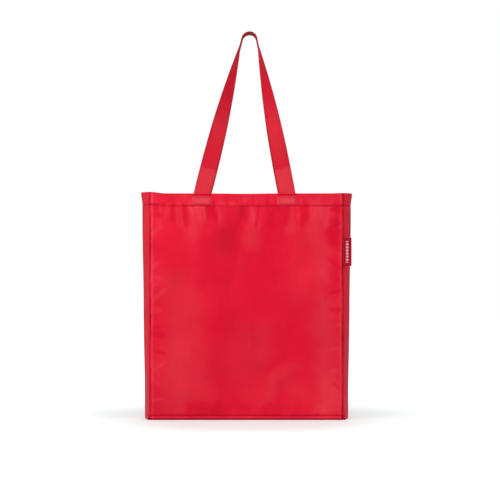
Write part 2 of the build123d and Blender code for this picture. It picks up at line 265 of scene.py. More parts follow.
# ======== mesh helpers
def smooth(low, high, x):
    """0 below low, 1 above high, an S-curve between."""
    t = np.clip((x - low) / (high - low), 0, 1)
    return t * t * (3 - 2 * t)


def hump(x, middle, width):
    """A soft ridge of height 1."""
    return np.exp(-(((x - middle) / width) ** 2))


def spaced(*stretches):
    """Stations along a line, from (start, end, step) stretches that follow on."""
    stations = []
    for start, end, step in stretches:
        count = max(1, int(round((end - start) / step)))
        stations += list(start + (end - start) * np.arange(count) / count)
    return np.array(stations + [stretches[-1][1]])


def running_length(points):
    """How far along a line of points each of them is."""
    steps = np.linalg.norm(np.diff(points, axis=0), axis=1)
    return np.concatenate([[0], np.cumsum(steps)])


def grid_uv(across, along):
    return np.stack(np.meshgrid(across, along), 2).reshape(-1, 2)


def linked(name, data):
    """A new object in the scene."""
    obj = bpy.data.objects.new(name, data)
    bpy.context.scene.collection.objects.link(obj)
    return obj


def new_object(name, vertices, faces, uv, materials, face_material=None, tone=None):
    """A smooth-shaded mesh object with a UV per vertex in metres of cloth.

    tone is a value per vertex that the cloth's colour follows: -1 is painted shade, as in a crevice, 1 is pale, mostly
    a painted highlight."""
    mesh = bpy.data.meshes.new(name)
    mesh.from_pydata([tuple(v) for v in vertices], [], [tuple(f) for f in faces])
    for material in materials:
        mesh.materials.append(material)
    if face_material is not None:
        mesh.polygons.foreach_set("material_index", face_material)
    layer = mesh.uv_layers.new(name="cloth")
    loops = np.empty(len(mesh.loops), int)
    mesh.loops.foreach_get("vertex_index", loops)
    layer.data.foreach_set("uv", np.asarray(uv, np.float32)[loops].ravel())
    if tone is not None:
        toned = mesh.attributes.new("tone", "FLOAT", "POINT")
        toned.data.foreach_set("value", np.asarray(tone, np.float32).ravel())
    mesh.update()
    obj = linked(name, mesh)
    work = bmesh.new()
    work.from_mesh(mesh)
    bmesh.ops.recalc_face_normals(work, faces=work.faces)
    for face in work.faces:
        face.smooth = True
    for edge in work.edges:
        if len(edge.link_faces) == 2 and edge.calc_face_angle(0) > math.radians(50):
            edge.smooth = False
    work.to_mesh(mesh)
    work.free()
    return obj


def shell(name, outer, inner, material, lining=None, tone=None):
    """A closed sheet of cloth between an outer and an inner grid of points."""
    rows, columns, _ = outer.shape
    count = rows * columns
    index = np.arange(count).reshape(rows, columns)
    a, b = index[:-1, :-1].ravel(), index[:-1, 1:].ravel()
    c, d = index[1:, 1:].ravel(), index[1:, :-1].ravel()
    face = np.stack([a, b, c, d], 1)
    back = np.stack([d, c, b, a], 1) + count
    ring = np.concatenate([index[0], index[1:, -1], index[-1, -2::-1], index[-2:0:-1, 0]])
    after = np.roll(ring, -1)
    rim = np.stack([ring, ring + count, after + count, after], 1)
    uv = grid_uv(running_length(outer[rows // 2]), running_length(outer[:, columns // 2]))
    faces = np.concatenate([face, back, rim])
    slots = np.concatenate([np.zeros(len(face)), np.ones(len(back)), np.zeros(len(rim))])
    vertices = np.concatenate([outer.reshape(-1, 3), inner.reshape(-1, 3)])
    if tone is not None:
        tone = np.broadcast_to(tone, (rows, columns)).ravel()
        tone = np.concatenate([tone, tone])
    return new_object(
        name, vertices, faces, np.concatenate([uv, uv]),
        [material, lining or material], slots.astype(np.int32), tone,
    )


def skin_faces(rings, sides, first=0):
    """Faces over rings of points, numbered from first, with a flat cap at each end."""
    index = first + np.arange(rings * sides).reshape(rings, sides)
    ahead = np.roll(index, -1, axis=1)
    walls = np.stack([index[:-1], ahead[:-1], ahead[1:], index[1:]], 2).reshape(-1, 4)
    return walls.tolist() + [index[0][::-1].tolist(), index[-1].tolist()]


def tube(name, rings, material, tone=None):
    """A closed solid skinned over rings of points."""
    count, sides, _ = rings.shape
    uv = grid_uv(running_length(rings[0]), running_length(rings.mean(axis=1)))
    return new_object(name, rings.reshape(-1, 3), skin_faces(count, sides), uv, [material],
                      tone=tone)


def joined(name, parts):
    """One object from several, which must share their materials."""
    bpy.ops.object.select_all(action="DESELECT")
    for part in parts:
        part.select_set(True)
    bpy.context.view_layer.objects.active = parts[0]
    bpy.ops.object.join()
    parts[0].name = name
    parts[0].data.name = name
    return parts[0]


STITCH_SIDES = 6
# Along a stitch: share of its length, then its lift and its size in radii.
STITCH_PROFILE = ((0, -0.6, 0.35), (0.18, 0.35, 0.9), (0.5, 0.6, 1.0), (0.82, 0.35, 0.9),
                  (1, -0.6, 0.35))


def stitch_rings(start, end, out, radius):
    """One raised stitch between two points: a low capsule that dives in at both ends."""
    start, end, out = Vector(start), Vector(end), Vector(out).normalized()
    along = (end - start).normalized()
    side = along.cross(out).normalized()
    rings = []
    for share, lift, size in STITCH_PROFILE:
        centre = start.lerp(end, share) + out * radius * lift
        for k in range(STITCH_SIDES):
            angle = math.tau * k / STITCH_SIDES
            spoke = side * math.cos(angle) + out * math.sin(angle)
            rings.append(np.array(tuple(centre + spoke * radius * size)))
    return rings


def stitches(name, runs, pitch=3.4 * MM, gap=0.9 * MM, radius=0.32 * MM):
    """Rows of stitches. A run is (points along a seam, one outward direction or one per point)."""
    rings = len(STITCH_PROFILE)
    vertices, faces, uv = [], [], []
    for points, outs in runs:
        points = np.asarray(points, float)
        outs = np.broadcast_to(np.asarray(outs, float), points.shape)
        at = running_length(points)
        count = max(1, int(at[-1] / pitch))
        for i in range(count):
            low, high = at[-1] * i / count + gap / 2, at[-1] * (i + 1) / count - gap / 2
            ends = [[np.interp(s, at, points[:, k]) for k in range(3)] for s in (low, high)]
            out = [np.interp((low + high) / 2, at, outs[:, k]) for k in range(3)]
            faces += skin_faces(rings, STITCH_SIDES, len(vertices))
            vertices += stitch_rings(*ends, out, radius)
            for r in range(rings):
                along = low + (high - low) * r / (rings - 1)
                uv += [(k * radius, along) for k in range(STITCH_SIDES)]
    return new_object(name, np.array(vertices), faces, np.array(uv), [thread])


# ======== materials
class NodeGraph:
    """A node tree, with short ways to add to it. A value is a number, a colour or an output."""

    def __init__(self, tree):
        self.nodes, self.links = tree.nodes, tree.links

    def fill(self, node, inputs):
        for name, value in inputs.items():
            socket = node.inputs[name]
            if isinstance(value, (int, float)):
                socket.default_value = value
            elif isinstance(value, tuple):
                socket.default_value = (*value, 1)
            else:
                self.links.new(value, socket)

    def add(self, kind, inputs=None, output=0, **settings):
        """One output of a new node, after its settings and inputs are filled in."""
        node = self.nodes.new("ShaderNode" + kind)
        for name, value in settings.items():
            setattr(node, name, value)
        self.fill(node, inputs or {})
        return node.outputs[output]

    def calc(self, operation, *values):
        return self.add("Math", dict(enumerate(values)), operation=operation)

    def ramp(self, source, *stops):
        """A colour ramp with stops of (position, colour)."""
        output = self.add("ValToRGB", {0: source})
        elements = output.node.color_ramp.elements
        for element, (position, colour) in zip((elements[0], elements[1]), (stops[0], stops[-1])):
            element.position, element.color = position, (*colour, 1)
        for position, colour in stops[1:-1]:
            elements.new(position).color = (*colour, 1)
        return output

    def mix(self, share, a, b, mode="MIX"):
        return self.add("Mix", {0: share, 6: a, 7: b}, 2, data_type="RGBA", blend_type=mode)

    def noise(self, vector, scale, detail):
        return self.add("TexNoise", {"Vector": vector, "Scale": scale, "Detail": detail})

    def rubbed_edges(self, low, high):
        """White on the mesh's sharp ridges, black elsewhere."""
        pointed = self.add("NewGeometry", output="Pointiness")
        return self.ramp(pointed, (low, (0, 0, 0)), (high, (1, 1, 1)))

    def relief(self, height, strength, distance):
        return self.add("Bump", {"Height": height, "Strength": strength, "Distance": distance})

    def cloth_place(self):
        """The place on the cloth, in metres across and along it."""
        uv = self.add("UVMap", uv_map="cloth")
        split = self.add("SeparateXYZ", {0: uv}).node
        return split.outputs[0], split.outputs[1]


def node_material(name):
    """A new material, its graph and its shader."""
    material = bpy.data.materials.new(name)
    material.use_nodes = True
    graph = NodeGraph(material.node_tree)
    return material, graph, graph.nodes["Principled BSDF"]


def shifted(colour, share, added=0.0):
    return tuple(min(1.0, c * share + added) for c in colour)


def woven(name, colour, pitch, roughness, sheen, bump, twill=0.0, gloss=0.15):
    """Woven cloth: over-and-under threads at a real pitch with painted shade in their dips, cloudy dye, sheen, worn
    ridges, and the painted shade and highlights that the tone attribute carries.
    """
    material, graph, shader = node_material(name)
    across, along = graph.cloth_place()
    turns = math.pi / pitch
    slanted = graph.calc("ADD", across, graph.calc("MULTIPLY", along, twill))
    warp = graph.calc("SINE", graph.calc("MULTIPLY", slanted, turns))
    weft = graph.calc("SINE", graph.calc("MULTIPLY", along, turns))
    lifted = graph.calc("ABSOLUTE", graph.calc("MULTIPLY", warp, weft))
    place = graph.add("TexCoord", output="Object")
    cloud = graph.noise(place, 9.0, 4.0)
    slub = graph.noise(place, 420.0, 2.0)
    dyed = graph.ramp(cloud, (0.3, shifted(colour, 0.9)), (0.52, colour),
                      (0.72, shifted(colour, 1.08, 0.006)))
    # Painted shade: the dips between the threads are darker.
    shade = graph.ramp(lifted, (0.0, (0.8, 0.8, 0.8)), (0.6, (1, 1, 1)))
    threaded = graph.mix(0.6, dyed, shade, "MULTIPLY")
    worn = graph.calc("MULTIPLY", graph.rubbed_edges(0.52, 0.6), 0.12)
    final = graph.mix(worn, threaded, shifted(colour, 1.15, 0.05))
    # The tone attribute paints shade below 0 and, mostly, highlights above 0 into the colour; where it paints shade it
    # also takes away gloss.
    tone = graph.add("Attribute", output="Fac", attribute_name="tone")
    deep = graph.calc("MAXIMUM", graph.calc("MULTIPLY", tone, -1.0), 0.0)
    pale = graph.calc("MAXIMUM", tone, 0.0)
    final = graph.mix(deep, final, shifted(colour, 0.36))
    final = graph.mix(pale, final, shifted(colour, 0.94, 0.1))
    height = graph.calc("ADD", lifted, graph.calc("MULTIPLY", slub, 0.5))
    graph.fill(shader, {
        "Base Color": final,
        "Roughness": graph.calc("MULTIPLY_ADD", slub, 0.16, roughness - 0.08),
        "Sheen Weight": sheen,
        "Sheen Roughness": 0.4,
        "Sheen Tint": (1.0, 0.5, 0.55),
        "Specular IOR Level": graph.calc("MULTIPLY_ADD", deep, -gloss, gloss),
        "Normal": graph.relief(height, bump, 0.12 * MM),
    })
    return material


def label_material():
    """Satin label ribbon with a woven row of small diamonds, which stands for no mark or letter."""
    material = woven("label_ribbon", (0.43, 0.002, 0.02), 0.3 * MM, 0.38, 0.1, 0.4)
    graph = NodeGraph(material.node_tree)
    shader = graph.nodes["Principled BSDF"]
    ground = shader.inputs["Base Color"].links[0].from_socket
    across, along = graph.cloth_place()
    pitch, half_width, half_length, middle = 5.6 * MM, 2.9 * MM, 2.3 * MM, 7.4 * MM
    first, last = 6 * MM, 45 * MM
    column = graph.calc("ABSOLUTE", graph.calc("SUBTRACT", across, middle))
    column = graph.calc("DIVIDE", column, half_width)
    row = graph.calc("DIVIDE", graph.calc("PINGPONG", along, pitch / 2), half_length)
    distance = graph.calc("ADD", column, row)
    outlined = graph.calc("MULTIPLY", graph.calc("LESS_THAN", distance, 1.0),
                          graph.calc("GREATER_THAN", distance, 0.45))
    within = graph.calc("MULTIPLY", graph.calc("GREATER_THAN", along, first),
                        graph.calc("LESS_THAN", along, last))
    diamonds = graph.calc("MULTIPLY", outlined, within)
    graph.fill(shader, {"Base Color": graph.mix(diamonds, ground, (0.9, 0.6, 0.62))})
    return material


def stud_material():
    """Burnished metal with fine turning rings, smudges and rubbed edges."""
    material, graph, shader = node_material("stud_metal")
    place = graph.add("TexCoord", output="Object")
    smudge = graph.noise(place, 260.0, 5.0)
    tone = graph.ramp(smudge, (0.3, (0.42, 0.33, 0.2)), (0.7, (0.62, 0.5, 0.33)))
    rings = graph.add("TexWave", {"Vector": place, "Scale": 900.0}, 1, wave_type="RINGS",
                      rings_direction="Y")
    graph.fill(shader, {
        "Base Color": graph.mix(graph.rubbed_edges(0.5, 0.56), tone, (0.85, 0.74, 0.55)),
        "Roughness": graph.calc("MULTIPLY_ADD", smudge, 0.25, 0.2),
        "Metallic": 1.0,
        "Normal": graph.relief(rings, 0.15, 0.05 * MM),
    })
    return material


shell_cloth = woven("shell_cloth", (0.83, 0.004, 0.031), 0.42 * MM, 0.38, 0.02, 0.3)
# A lit copy of the shell cloth for the gussets: its colour is painted a little brighter for how the light falls on
# them, and it has less gloss.
gusset_cloth = woven("gusset_cloth", (0.86, 0.004, 0.031), 0.42 * MM, 0.42, 0.0, 0.3, gloss=0.1)
lining_cloth = woven("coated_inside", (0.66, 0.010, 0.034), 0.42 * MM, 0.34, 0.0, 0.2)
webbing = woven("strap_webbing", (0.78, 0.006, 0.027), 0.8 * MM, 0.5, 0.06, 0.6, 0.5, 0.2)
binding = woven("binding_tape", (0.6, 0.006, 0.026), 0.6 * MM, 0.6, 0.06, 0.5, 1.0, 0.2)
thread = woven("stitch_thread", (0.56, 0.006, 0.026), 0.25 * MM, 0.5, 0.05, 0.5, 1.0, 0.2)
care_cloth = woven("care_ribbon", (0.78, 0.76, 0.73), 0.3 * MM, 0.4, 0.1, 0.3)
label_ribbon = label_material()
stud_metal = stud_material()


# ======== shape of the bag's body
def foot_inset(z):
    """How far the bag's rounded foot corners draw in at a height."""
    low = np.clip(CORNER_RADIUS - z, 0, CORNER_RADIUS)
    return CORNER_RADIUS - np.sqrt(CORNER_RADIUS**2 - low**2)


def top_flare(x, z):
    """The rim's slight rise at the left corner and its sag between the handles."""
    within = np.clip(x, -SEAM_X, SEAM_X)
    rise = 2.8 * MM * hump(within, -SEAM_X, 16 * MM) + 0.7 * MM * hump(within, SEAM_X, 16 * MM)
    sag = 0.7 * MM * hump(x, STRAP_MIDDLE, 45 * MM)
    return (rise - sag) * smooth(HEIGHT - 70 * MM, HEIGHT, z)


def soft_fold(x, z, fold, power=2):
    """A soft ridge along a line. fold is x0, z0, x1, z1, left width, right width, height, in mm.

    A higher power gives it a flatter top and steeper sides."""
    x0, z0, x1, z1, left, right, height = [value * MM for value in fold]
    length = math.hypot(x1 - x0, z1 - z0)
    ux, uz = (x1 - x0) / length, (z1 - z0) / length
    along = (x - x0) * ux + (z - z0) * uz
    across = ((x - x0) * uz - (z - z0) * ux) * math.copysign(1, uz)
    width = np.where(across < 0, left, right)
    past = np.maximum(0, np.maximum(-along, along - length))
    taper = np.exp(-((past / (max(left, right) * 1.2)) ** power))
    return height * np.exp(-(np.abs(across / width) ** power)) * taper


# Broad slack folds of the front, then of the back: soft_fold says what each number is.
FRONT_FOLDS = [
    (-88, 385, -84, 330, 20, 24, 2.6),
    (-118, 380, -128, 350, 9, 12, -1.4),
    (-8, 392, -22, 300, 26, 20, -3.2),
    (-24, 300, -58, 190, 30, 38, -2.8),
    (-58, 190, -28, 90, 30, 26, -2.2),
    (18, 385, 34, 335, 14, 22, 2.0),
    (60, 350, 64, 290, 26, 26, 1.4),
    (98, 388, 106, 330, 10, 12, 1.9),
    (128, 345, 138, 262, 34, 17, 2.0),
    (126, 250, 134, 40, 26, 14, 2.3),
    (-104, 190, -96, 60, 34, 40, 2.6),
    (-48, 120, -40, 40, 22, 15, 1.2),
    (36, 44, 86, 108, 15, 24, 1.9),
    (70, 50, 96, 62, 18, 16, -1.3),
    (10, 200, 40, 130, 30, 30, 1.3),
    (-150, 300, -120, 270, 10, 12, 1.0),
    (-148, 372, -112, 398, 6, 7, -1.3),
    (150, 366, 122, 392, 6, 7, -1.2),
    (0, 26, 120, 20, 9, 12, -1.2),
]
BACK_FOLDS = [
    (90, 388, 84, 320, 22, 26, 2.4),
    (-92, 388, -82, 330, 18, 24, 2.2),
    (4, 390, 20, 280, 24, 28, -2.8),
    (20, 280, 60, 170, 34, 30, -2.4),
    (-40, 250, -70, 110, 30, 22, 2.2),
    (110, 210, 96, 70, 36, 20, 2.3),
    (-130, 300, -124, 160, 20, 32, 1.8),
    (30, 110, -20, 50, 20, 16, 1.7),
    (-150, 368, -118, 394, 6, 8, -1.2),
    (148, 372, 116, 396, 6, 7, -1.3),
    (-90, 24, 60, 28, 10, 12, -1.3),
]

# Painted highlights where the front's cloth catches the light and painted shade where it stays deep: as above, but the
# last number is tone.
FRONT_SHEEN = [
    (-97, 372, -95, 344, 17, 16, 0.15),
    (-56, 378, -50, 356, 24, 18, 0.06),
    (9, 375, 11, 326, 15, 16, 0.12),
    (-27, 374, -31, 325, 24, 17, -0.15),
    (-44, 245, -40, 180, 18, 20, -0.10),
    (84, 384, 84, 350, 11, 11, 0.17),
    (130, 376, 136, 268, 23, 19, 0.16),
    (160, 345, 160, 325, 13, 12, -0.14),
    (92, 320, 94, 235, 22, 20, 0.07),
    (141, 205, 147, 30, 24, 24, 0.15),
    (150, 60, 152, 30, 22, 18, 0.10),
    (-118, 225, -94, 62, 42, 34, 0.13),
    (-142, 110, -136, 34, 26, 30, 0.10),
    (-10, 120, 6, 44, 34, 40, 0.06),
    (78, 66, 100, 40, 20, 20, 0.07),
    (38, 40, 44, 64, 11, 11, 0.08),
    (50, 76, 84, 100, 10, 11, 0.08),
    (34, 165, 30, 120, 15, 16, 0.07),
    (-90, 22, 70, 20, 9, 9, -0.14),
]


def gathers(draw, at, stop, gaps, spans, heights):
    """Random places up to stop, each with a number from every span and a height of either sign."""
    while at < stop:
        at += draw.uniform(*gaps)
        numbers = [draw.uniform(*span) for span in spans]
        yield (at, *numbers, draw.choice([-1, 1]) * draw.uniform(*heights))


def puckers(seed):
    """Random small gathers along the hem, the side seams and the foot, as soft folds in mm."""
    draw = np.random.RandomState(seed)
    reach, hem, foot = 168, 385, 10  # how far the gathers go sideways, and two heights
    folds = []
    below_hem = ((7, 34), (-0.35, 0.35), (2.0, 4.8))
    for x, length, lean, width, height in gathers(
            draw, -reach, reach, (5, 15), below_hem, (0.5, 1.3)):
        folds.append((x, hem, x + length * lean, hem - length, width, width * 1.7, height))
    on_hem = ((-4, 4), (2.5, 5))
    for x, lean, width, height in gathers(
            draw, 3 - reach, reach - 3, (9, 26), on_hem, (0.3, 0.8)):
        low, high = hem + 4, hem + 4 + draw.uniform(4, 14)
        folds.append((x, low, x + lean, high, width, width, height))
    beside_seam = ((5, 22), (-0.7, 0.9), (1.8, 4.0))
    for hand in (LEFT, RIGHT):
        for z, length, rise, width, height in gathers(
                draw, foot + 4, hem - 15, (12, 42), beside_seam, (0.4, 1.1)):
            start = hand * draw.uniform(reach, reach + 3)
            folds.append((start, z, start - hand * length, z + length * rise,
                          width, width * 1.5, height))
    above_foot = ((6, 20), (-0.6, 0.6), (2.5, 5))
    for x, length, lean, width, height in gathers(
            draw, 8 - reach, reach - 8, (14, 40), above_foot, (0.2, 0.5)):
        folds.append((x, foot, x + length * lean, foot + length, width, width * 1.4, height))
    return folds


def softened(heights, passes):
    """A grid of heights with its smallest ripples averaged away."""
    for _ in range(passes):
        padded = np.pad(heights, 1, mode="edge")
        heights = (padded[:-2, 1:-1] + padded[2:, 1:-1] + padded[1:-1, :-2]
                   + padded[1:-1, 2:] + 4 * heights) / 8
    return heights


def cloth_slack(seed):
    """Height of a slack cloth pinned round its border, from Blender's cloth simulation.

    A sheet the size of a panel starts slightly uneven and is given a little more cloth than its
    border allows, so that it buckles as a sewn panel does."""
    columns, rows = int(2 * SEAM_X / SLACK_GRID), int((HEIGHT - HEM) / SLACK_GRID)
    xs = np.linspace(-SEAM_X, SEAM_X, columns + 1)
    zs = np.linspace(0, HEIGHT - HEM, rows + 1)
    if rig.quick():
        return xs, zs, np.zeros((rows + 1, columns + 1))
    draw = np.random.RandomState(seed)
    grid_x, grid_z = np.meshgrid(xs, zs)
    border = np.ones((rows + 1, columns + 1), bool)
    border[1:-1, 1:-1] = False
    start = softened(2 * MM * draw.randn(rows + 1, columns + 1), 4)
    start[border] = 0
    points = np.stack([grid_x, start, grid_z], 2).reshape(-1, 3)
    index = np.arange(len(points)).reshape(rows + 1, columns + 1)
    quads = np.stack([index[:-1, :-1], index[:-1, 1:], index[1:, 1:], index[1:, :-1]], 2)
    mesh = bpy.data.meshes.new("slack")
    mesh.from_pydata(points.tolist(), [], quads.reshape(-1, 4).tolist())
    sheet = linked("slack", mesh)
    group = sheet.vertex_groups.new(name="pinned")
    group.add([int(i) for i in index[border]], 1.0, "REPLACE")
    cloth = sheet.modifiers.new("cloth", "CLOTH")
    settings = cloth.settings
    settings.vertex_group_mass = "pinned"
    settings.quality = 6
    settings.mass = 0.12
    settings.tension_stiffness = settings.compression_stiffness = 20
    settings.shear_stiffness = 8
    settings.bending_stiffness = 12
    settings.shrink_min = -SLACK_EXTRA
    settings.effector_weights.gravity = 0.35
    settings.tension_damping = settings.bending_damping = 8
    cloth.collision_settings.use_collision = False
    bpy.context.scene.frame_end = cloth.point_cache.frame_end = SLACK_FRAMES
    for number in range(1, SLACK_FRAMES + 1):
        bpy.context.scene.frame_set(number)
    graph = bpy.context.evaluated_depsgraph_get()
    settled = sheet.evaluated_get(graph).to_mesh()
    heights = np.array([v.co.y for v in settled.vertices]).reshape(rows + 1, columns + 1)
    bpy.data.objects.remove(sheet, do_unlink=True)
    bpy.context.scene.frame_set(1)
    return xs, zs, np.clip(softened(heights, 3), -SLACK_LIMIT, SLACK_LIMIT)


def sampled(field, x, z):
    """The height of a simulated field at points, blended softly between its grid's corners."""
    xs, zs, heights = field
    column = np.clip((x - xs[0]) / (xs[1] - xs[0]), 0, len(xs) - 1.001)
    row = np.clip((z - zs[0]) / (zs[1] - zs[0]), 0, len(zs) - 1.001)
    c, r = column.astype(int), row.astype(int)
    fc, fr = column - c, row - r
    fc, fr = fc * fc * (3 - 2 * fc), fr * fr * (3 - 2 * fr)
    low = heights[r, c] * (1 - fc) + heights[r, c + 1] * fc
    high = heights[r + 1, c] * (1 - fc) + heights[r + 1, c + 1] * fc
    return low * (1 - fr) + high * fr


slack = {FRONT: cloth_slack(3), BACK: cloth_slack(11)}
pucker_folds = {FRONT: puckers(21), BACK: puckers(34)}


def strap_zone(x, half=17 * MM, blur=5 * MM):
    """1 across the width of a strap's sewn end, 0 elsewhere."""
    zone = 0
    for hand in (LEFT, RIGHT):
        off = np.abs(x - STRAP_MIDDLE - hand * STRAP_FOOT_X)
        zone = zone + smooth(half + blur, half, off)
    return zone


def held_flat(x, z):
    """How firmly the sewn strap ends hold the hem flat."""
    return 0.9 * strap_zone(x) * smooth(HEM_STITCH_Z - 4 * MM, HEM_STITCH_Z + 2 * MM, z)


def pucker_relief(side, x, z):
    """Outward height of the small gathers, kept out of the flat strap ends."""
    return sum(soft_fold(x, z, fold) for fold in pucker_folds[side]) * (1 - held_flat(x, z))


def outward_only(height, blur=1.2 * MM):
    """A height whose hollows are softly raised to the flat plane."""
    return 0.5 * (height + np.sqrt(height**2 + blur**2))


def panel_relief(side, x, z):
    """Outward height of a panel's cloth above its flat plane.

    It has no hollows where the pocket or the folded gussets and base lie behind it, and it is
    nearly flat under the side label."""
    folds = FRONT_FOLDS if side == FRONT else BACK_FOLDS
    broad = FOLD_DEPTH * sum(soft_fold(x, z, fold) for fold in folds)
    below_hem = smooth(HEM_STITCH_Z, HEM_STITCH_Z - 26 * MM, z)
    height = broad * (0.25 + 0.75 * below_hem)
    height += sampled(slack[side], x, z) * smooth(HEM_STITCH_Z, HEM_STITCH_Z - 8 * MM, z)
    height += pucker_relief(side, x, z)
    if side == BACK:
        backed = smooth(POCKET_X + 12 * MM, POCKET_X + 2 * MM, np.abs(x))
        backed *= smooth(POCKET_LOW - 14 * MM, POCKET_LOW - 4 * MM, z)
        backed *= smooth(POCKET_HIGH + 14 * MM, POCKET_HIGH + 4 * MM, z)
        height = np.where(height < 0, height * (1 - backed), height)
    folded = np.maximum(smooth(*GUSSET_ZONE, np.abs(x)), smooth(*BASE_ZONE, z))
    height = height * (1 - folded) + outward_only(height) * folded
    if side == FRONT:
        flat = smooth(132 * MM, 158 * MM, x) * smooth(LABEL_LOW - 40 * MM, LABEL_LOW, z)
        flat *= smooth(LABEL_HIGH + 40 * MM, LABEL_HIGH, z)
        height *= 1 - 0.92 * flat
    edge = SEAM_X - np.abs(x)
    height *= smooth(0, 9 * MM, edge) * smooth(FOOT_ROLL, FOOT_ROLL + 8 * MM, z)
    height *= 1 - 0.6 * smooth(HEIGHT - 8 * MM, HEIGHT, z)
    height *= 1 - held_flat(x, z)
    height -= 0.55 * MM * hump(z, HEM_STITCH_Z, 1.3 * MM)
    height += 0.45 * MM * hump(z, HEM_STITCH_Z + 5 * MM, 5 * MM)
    height += 1.2 * MM * strap_patch(x, z)
    height -= 0.6 * MM * hump(z, HEIGHT - 3 * MM, 2 * MM) * strap_zone(x)
    return height


def strap_patch(x, z):
    """1 on the rectangles where the sewn strap ends lift the hem."""
    patch = strap_zone(x, 16 * MM, 0.9 * MM)
    patch = patch * smooth(HEIGHT - 21.5 * MM, HEIGHT - 20 * MM, z)
    return patch * smooth(HEIGHT - 5 * MM, HEIGHT - 6.5 * MM, z)


def panel_tone(side, x, z):
    """Painted shade in the crevices of the seams, the stitch lines, the strap ends and the foot, painted highlights on
    the rolls, ridges, puckers and raised strap ends, a paler hem, and broad painted zones of light and shade.
    """
    edge = SEAM_X - np.abs(x)
    uneven = 0.6 + 0.3 * np.sin(x / (7 * MM) + side) * np.sin(x / (2.9 * MM) + 1.3)
    uneven += 0.2 * np.sin(x / (19 * MM) + 0.7)
    tone = 0.09 * smooth(HEM_STITCH_Z, HEM_STITCH_Z + 3 * MM, z) * (0.3 + uneven)
    # Painted shade in the groove of the hem's stitch line.
    tone -= 0.6 * hump(z, HEM_STITCH_Z, 1.1 * MM) * uneven
    # A painted highlight on the raised strap ends, and painted shade in the recess above them.
    tone += 0.36 * strap_patch(x, z)
    tone -= 0.5 * hump(z, HEIGHT - 3 * MM, 2 * MM) * strap_zone(x, 16 * MM, 2 * MM)
    # A painted highlight on the foot's rolled seam, and painted shade in the groove above it and along the bottom edge.
    tone += 0.16 * hump(z, FOOT_ROLL * 0.55, 1.6 * MM)
    tone -= 0.7 * hump(z, FOOT_ROLL + 0.4 * MM, 1.5 * MM)
    tone -= 0.95 * hump(z, 0, 3 * MM)
    # Painted light and shade on the puckers: paler ridges, darker hollows.
    tone += 0.2 * np.clip(pucker_relief(side, x, z) / (0.9 * MM), -1, 0.6)
    # Painted shade in the side seams' grooves, wavy where the seam is pulled, and a painted highlight on the ridge
    # beside them.
    pulled = np.sin(z / (8.3 * MM) + x / MM) * np.sin(z / (3.1 * MM) + 2 * side)
    pulled += 0.8 * np.sin(z / (21 * MM) + np.sign(x))
    seam_shade = -0.8 * (0.8 + 0.3 * pulled) * hump(edge, (0.4 + 0.5 * pulled) * MM, 1.2 * MM)
    seam_shade += 0.12 * hump(edge, 5 * MM, 2.5 * MM)
    if side == FRONT:
        # Broad painted zones of light and shade on the front.
        ragged_x = x + 3.5 * MM * np.sin(z / (13 * MM) + 1)
        ragged_x += 1.8 * MM * np.sin(z / (5 * MM) + x / (9 * MM))
        ragged_z = z + 3 * MM * np.sin(x / (11 * MM))
        ragged_z += 1.5 * MM * np.sin(x / (4.5 * MM) + z / (14 * MM))
        broad = sum(soft_fold(ragged_x, ragged_z, zone, 3) for zone in FRONT_SHEEN) / MM
    else:
        # On the back, painted highlights on the broad folds' ridges and painted shade in their hollows, over a slightly
        # paler ground.
        broad = 0.08 + 0.07 * sum(soft_fold(x, z, fold) for fold in BACK_FOLDS) / MM
    tone += broad * smooth(HEM_STITCH_Z + 1 * MM, HEM_STITCH_Z - 2 * MM, z)
    return np.clip(tone + seam_shade, -1, 1)


def panel_depth(side, x, z):
    """How far out from the bag's middle a panel's outer surface lies."""
    edge = np.maximum(SEAM_X - np.abs(x), 0)
    depth = OUTER_Y + panel_relief(side, x, z)
    depth -= (OUTER_Y - HINGE_Y) * np.exp(-((edge / SEAM_ROLL) ** 1.4))
    depth += 0.5 * MM * hump(edge, 5 * MM, 2 * MM)
    roll = np.clip(z / FOOT_ROLL, 0, 1)
    depth += 1.3 * MM * np.sin(math.pi * roll) ** 0.8 * smooth(0, 6 * MM, edge)
    depth -= 0.35 * MM * hump(z, FOOT_ROLL + 0.4 * MM, 1.1 * MM)
    depth -= (OUTER_Y - HINGE_Y) * np.exp(-((z / (1.2 * MM)) ** 1.4))
    return depth


def panel_points(side, x, z):
    """Points on a panel's outer surface."""
    near_edge = smooth(SEAM_X - 30 * MM, SEAM_X, np.abs(x))
    place_x = x - np.sign(x) * foot_inset(z) * near_edge
    return np.stack([place_x, side * panel_depth(side, x, z), z + top_flare(x, z)], -1)


PANEL_X = spaced((-SEAM_X, -SEAM_X + 9 * MM, 0.9 * MM),
                 (-SEAM_X + 9 * MM, SEAM_X - 9 * MM, 2.2 * MM), (SEAM_X - 9 * MM, SEAM_X, 0.9 * MM))
PANEL_Z = spaced((0, 10 * MM, 0.9 * MM), (10 * MM, HEM_STITCH_Z - 6 * MM, 2.3 * MM),
                 (HEM_STITCH_Z - 6 * MM, HEIGHT, 1.1 * MM))


# ======== pieces
def stands_for(piece, slot, *nodes):
    """Gives a piece its finish from a slot of the record, and lets it stand for CAD nodes."""
    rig.slot(piece, slot)
    if nodes:
        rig.replaces(piece, *nodes)


def settle(piece, body, slot, *nodes):
    """As stands_for, for a piece that rides on one body."""
    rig.ride(piece, body)
    stands_for(piece, slot, *nodes)


def sew(name, body, runs, **sizes):
    """Rows of stitches that ride on one body."""
    rows = stitches(name, runs, **sizes)
    settle(rows, body, "stitch_thread")
    return rows


def lined(outer, axis, outward, z):
    """The inside of a cloth with that outside: it is doubled along the hem."""
    inner = outer.copy()
    hem_layer = smooth(HEIGHT - HEM - 0.3 * MM, HEIGHT - HEM + 0.3 * MM, z)
    inner[..., axis] -= outward * FABRIC * (1 + hem_layer)
    return inner


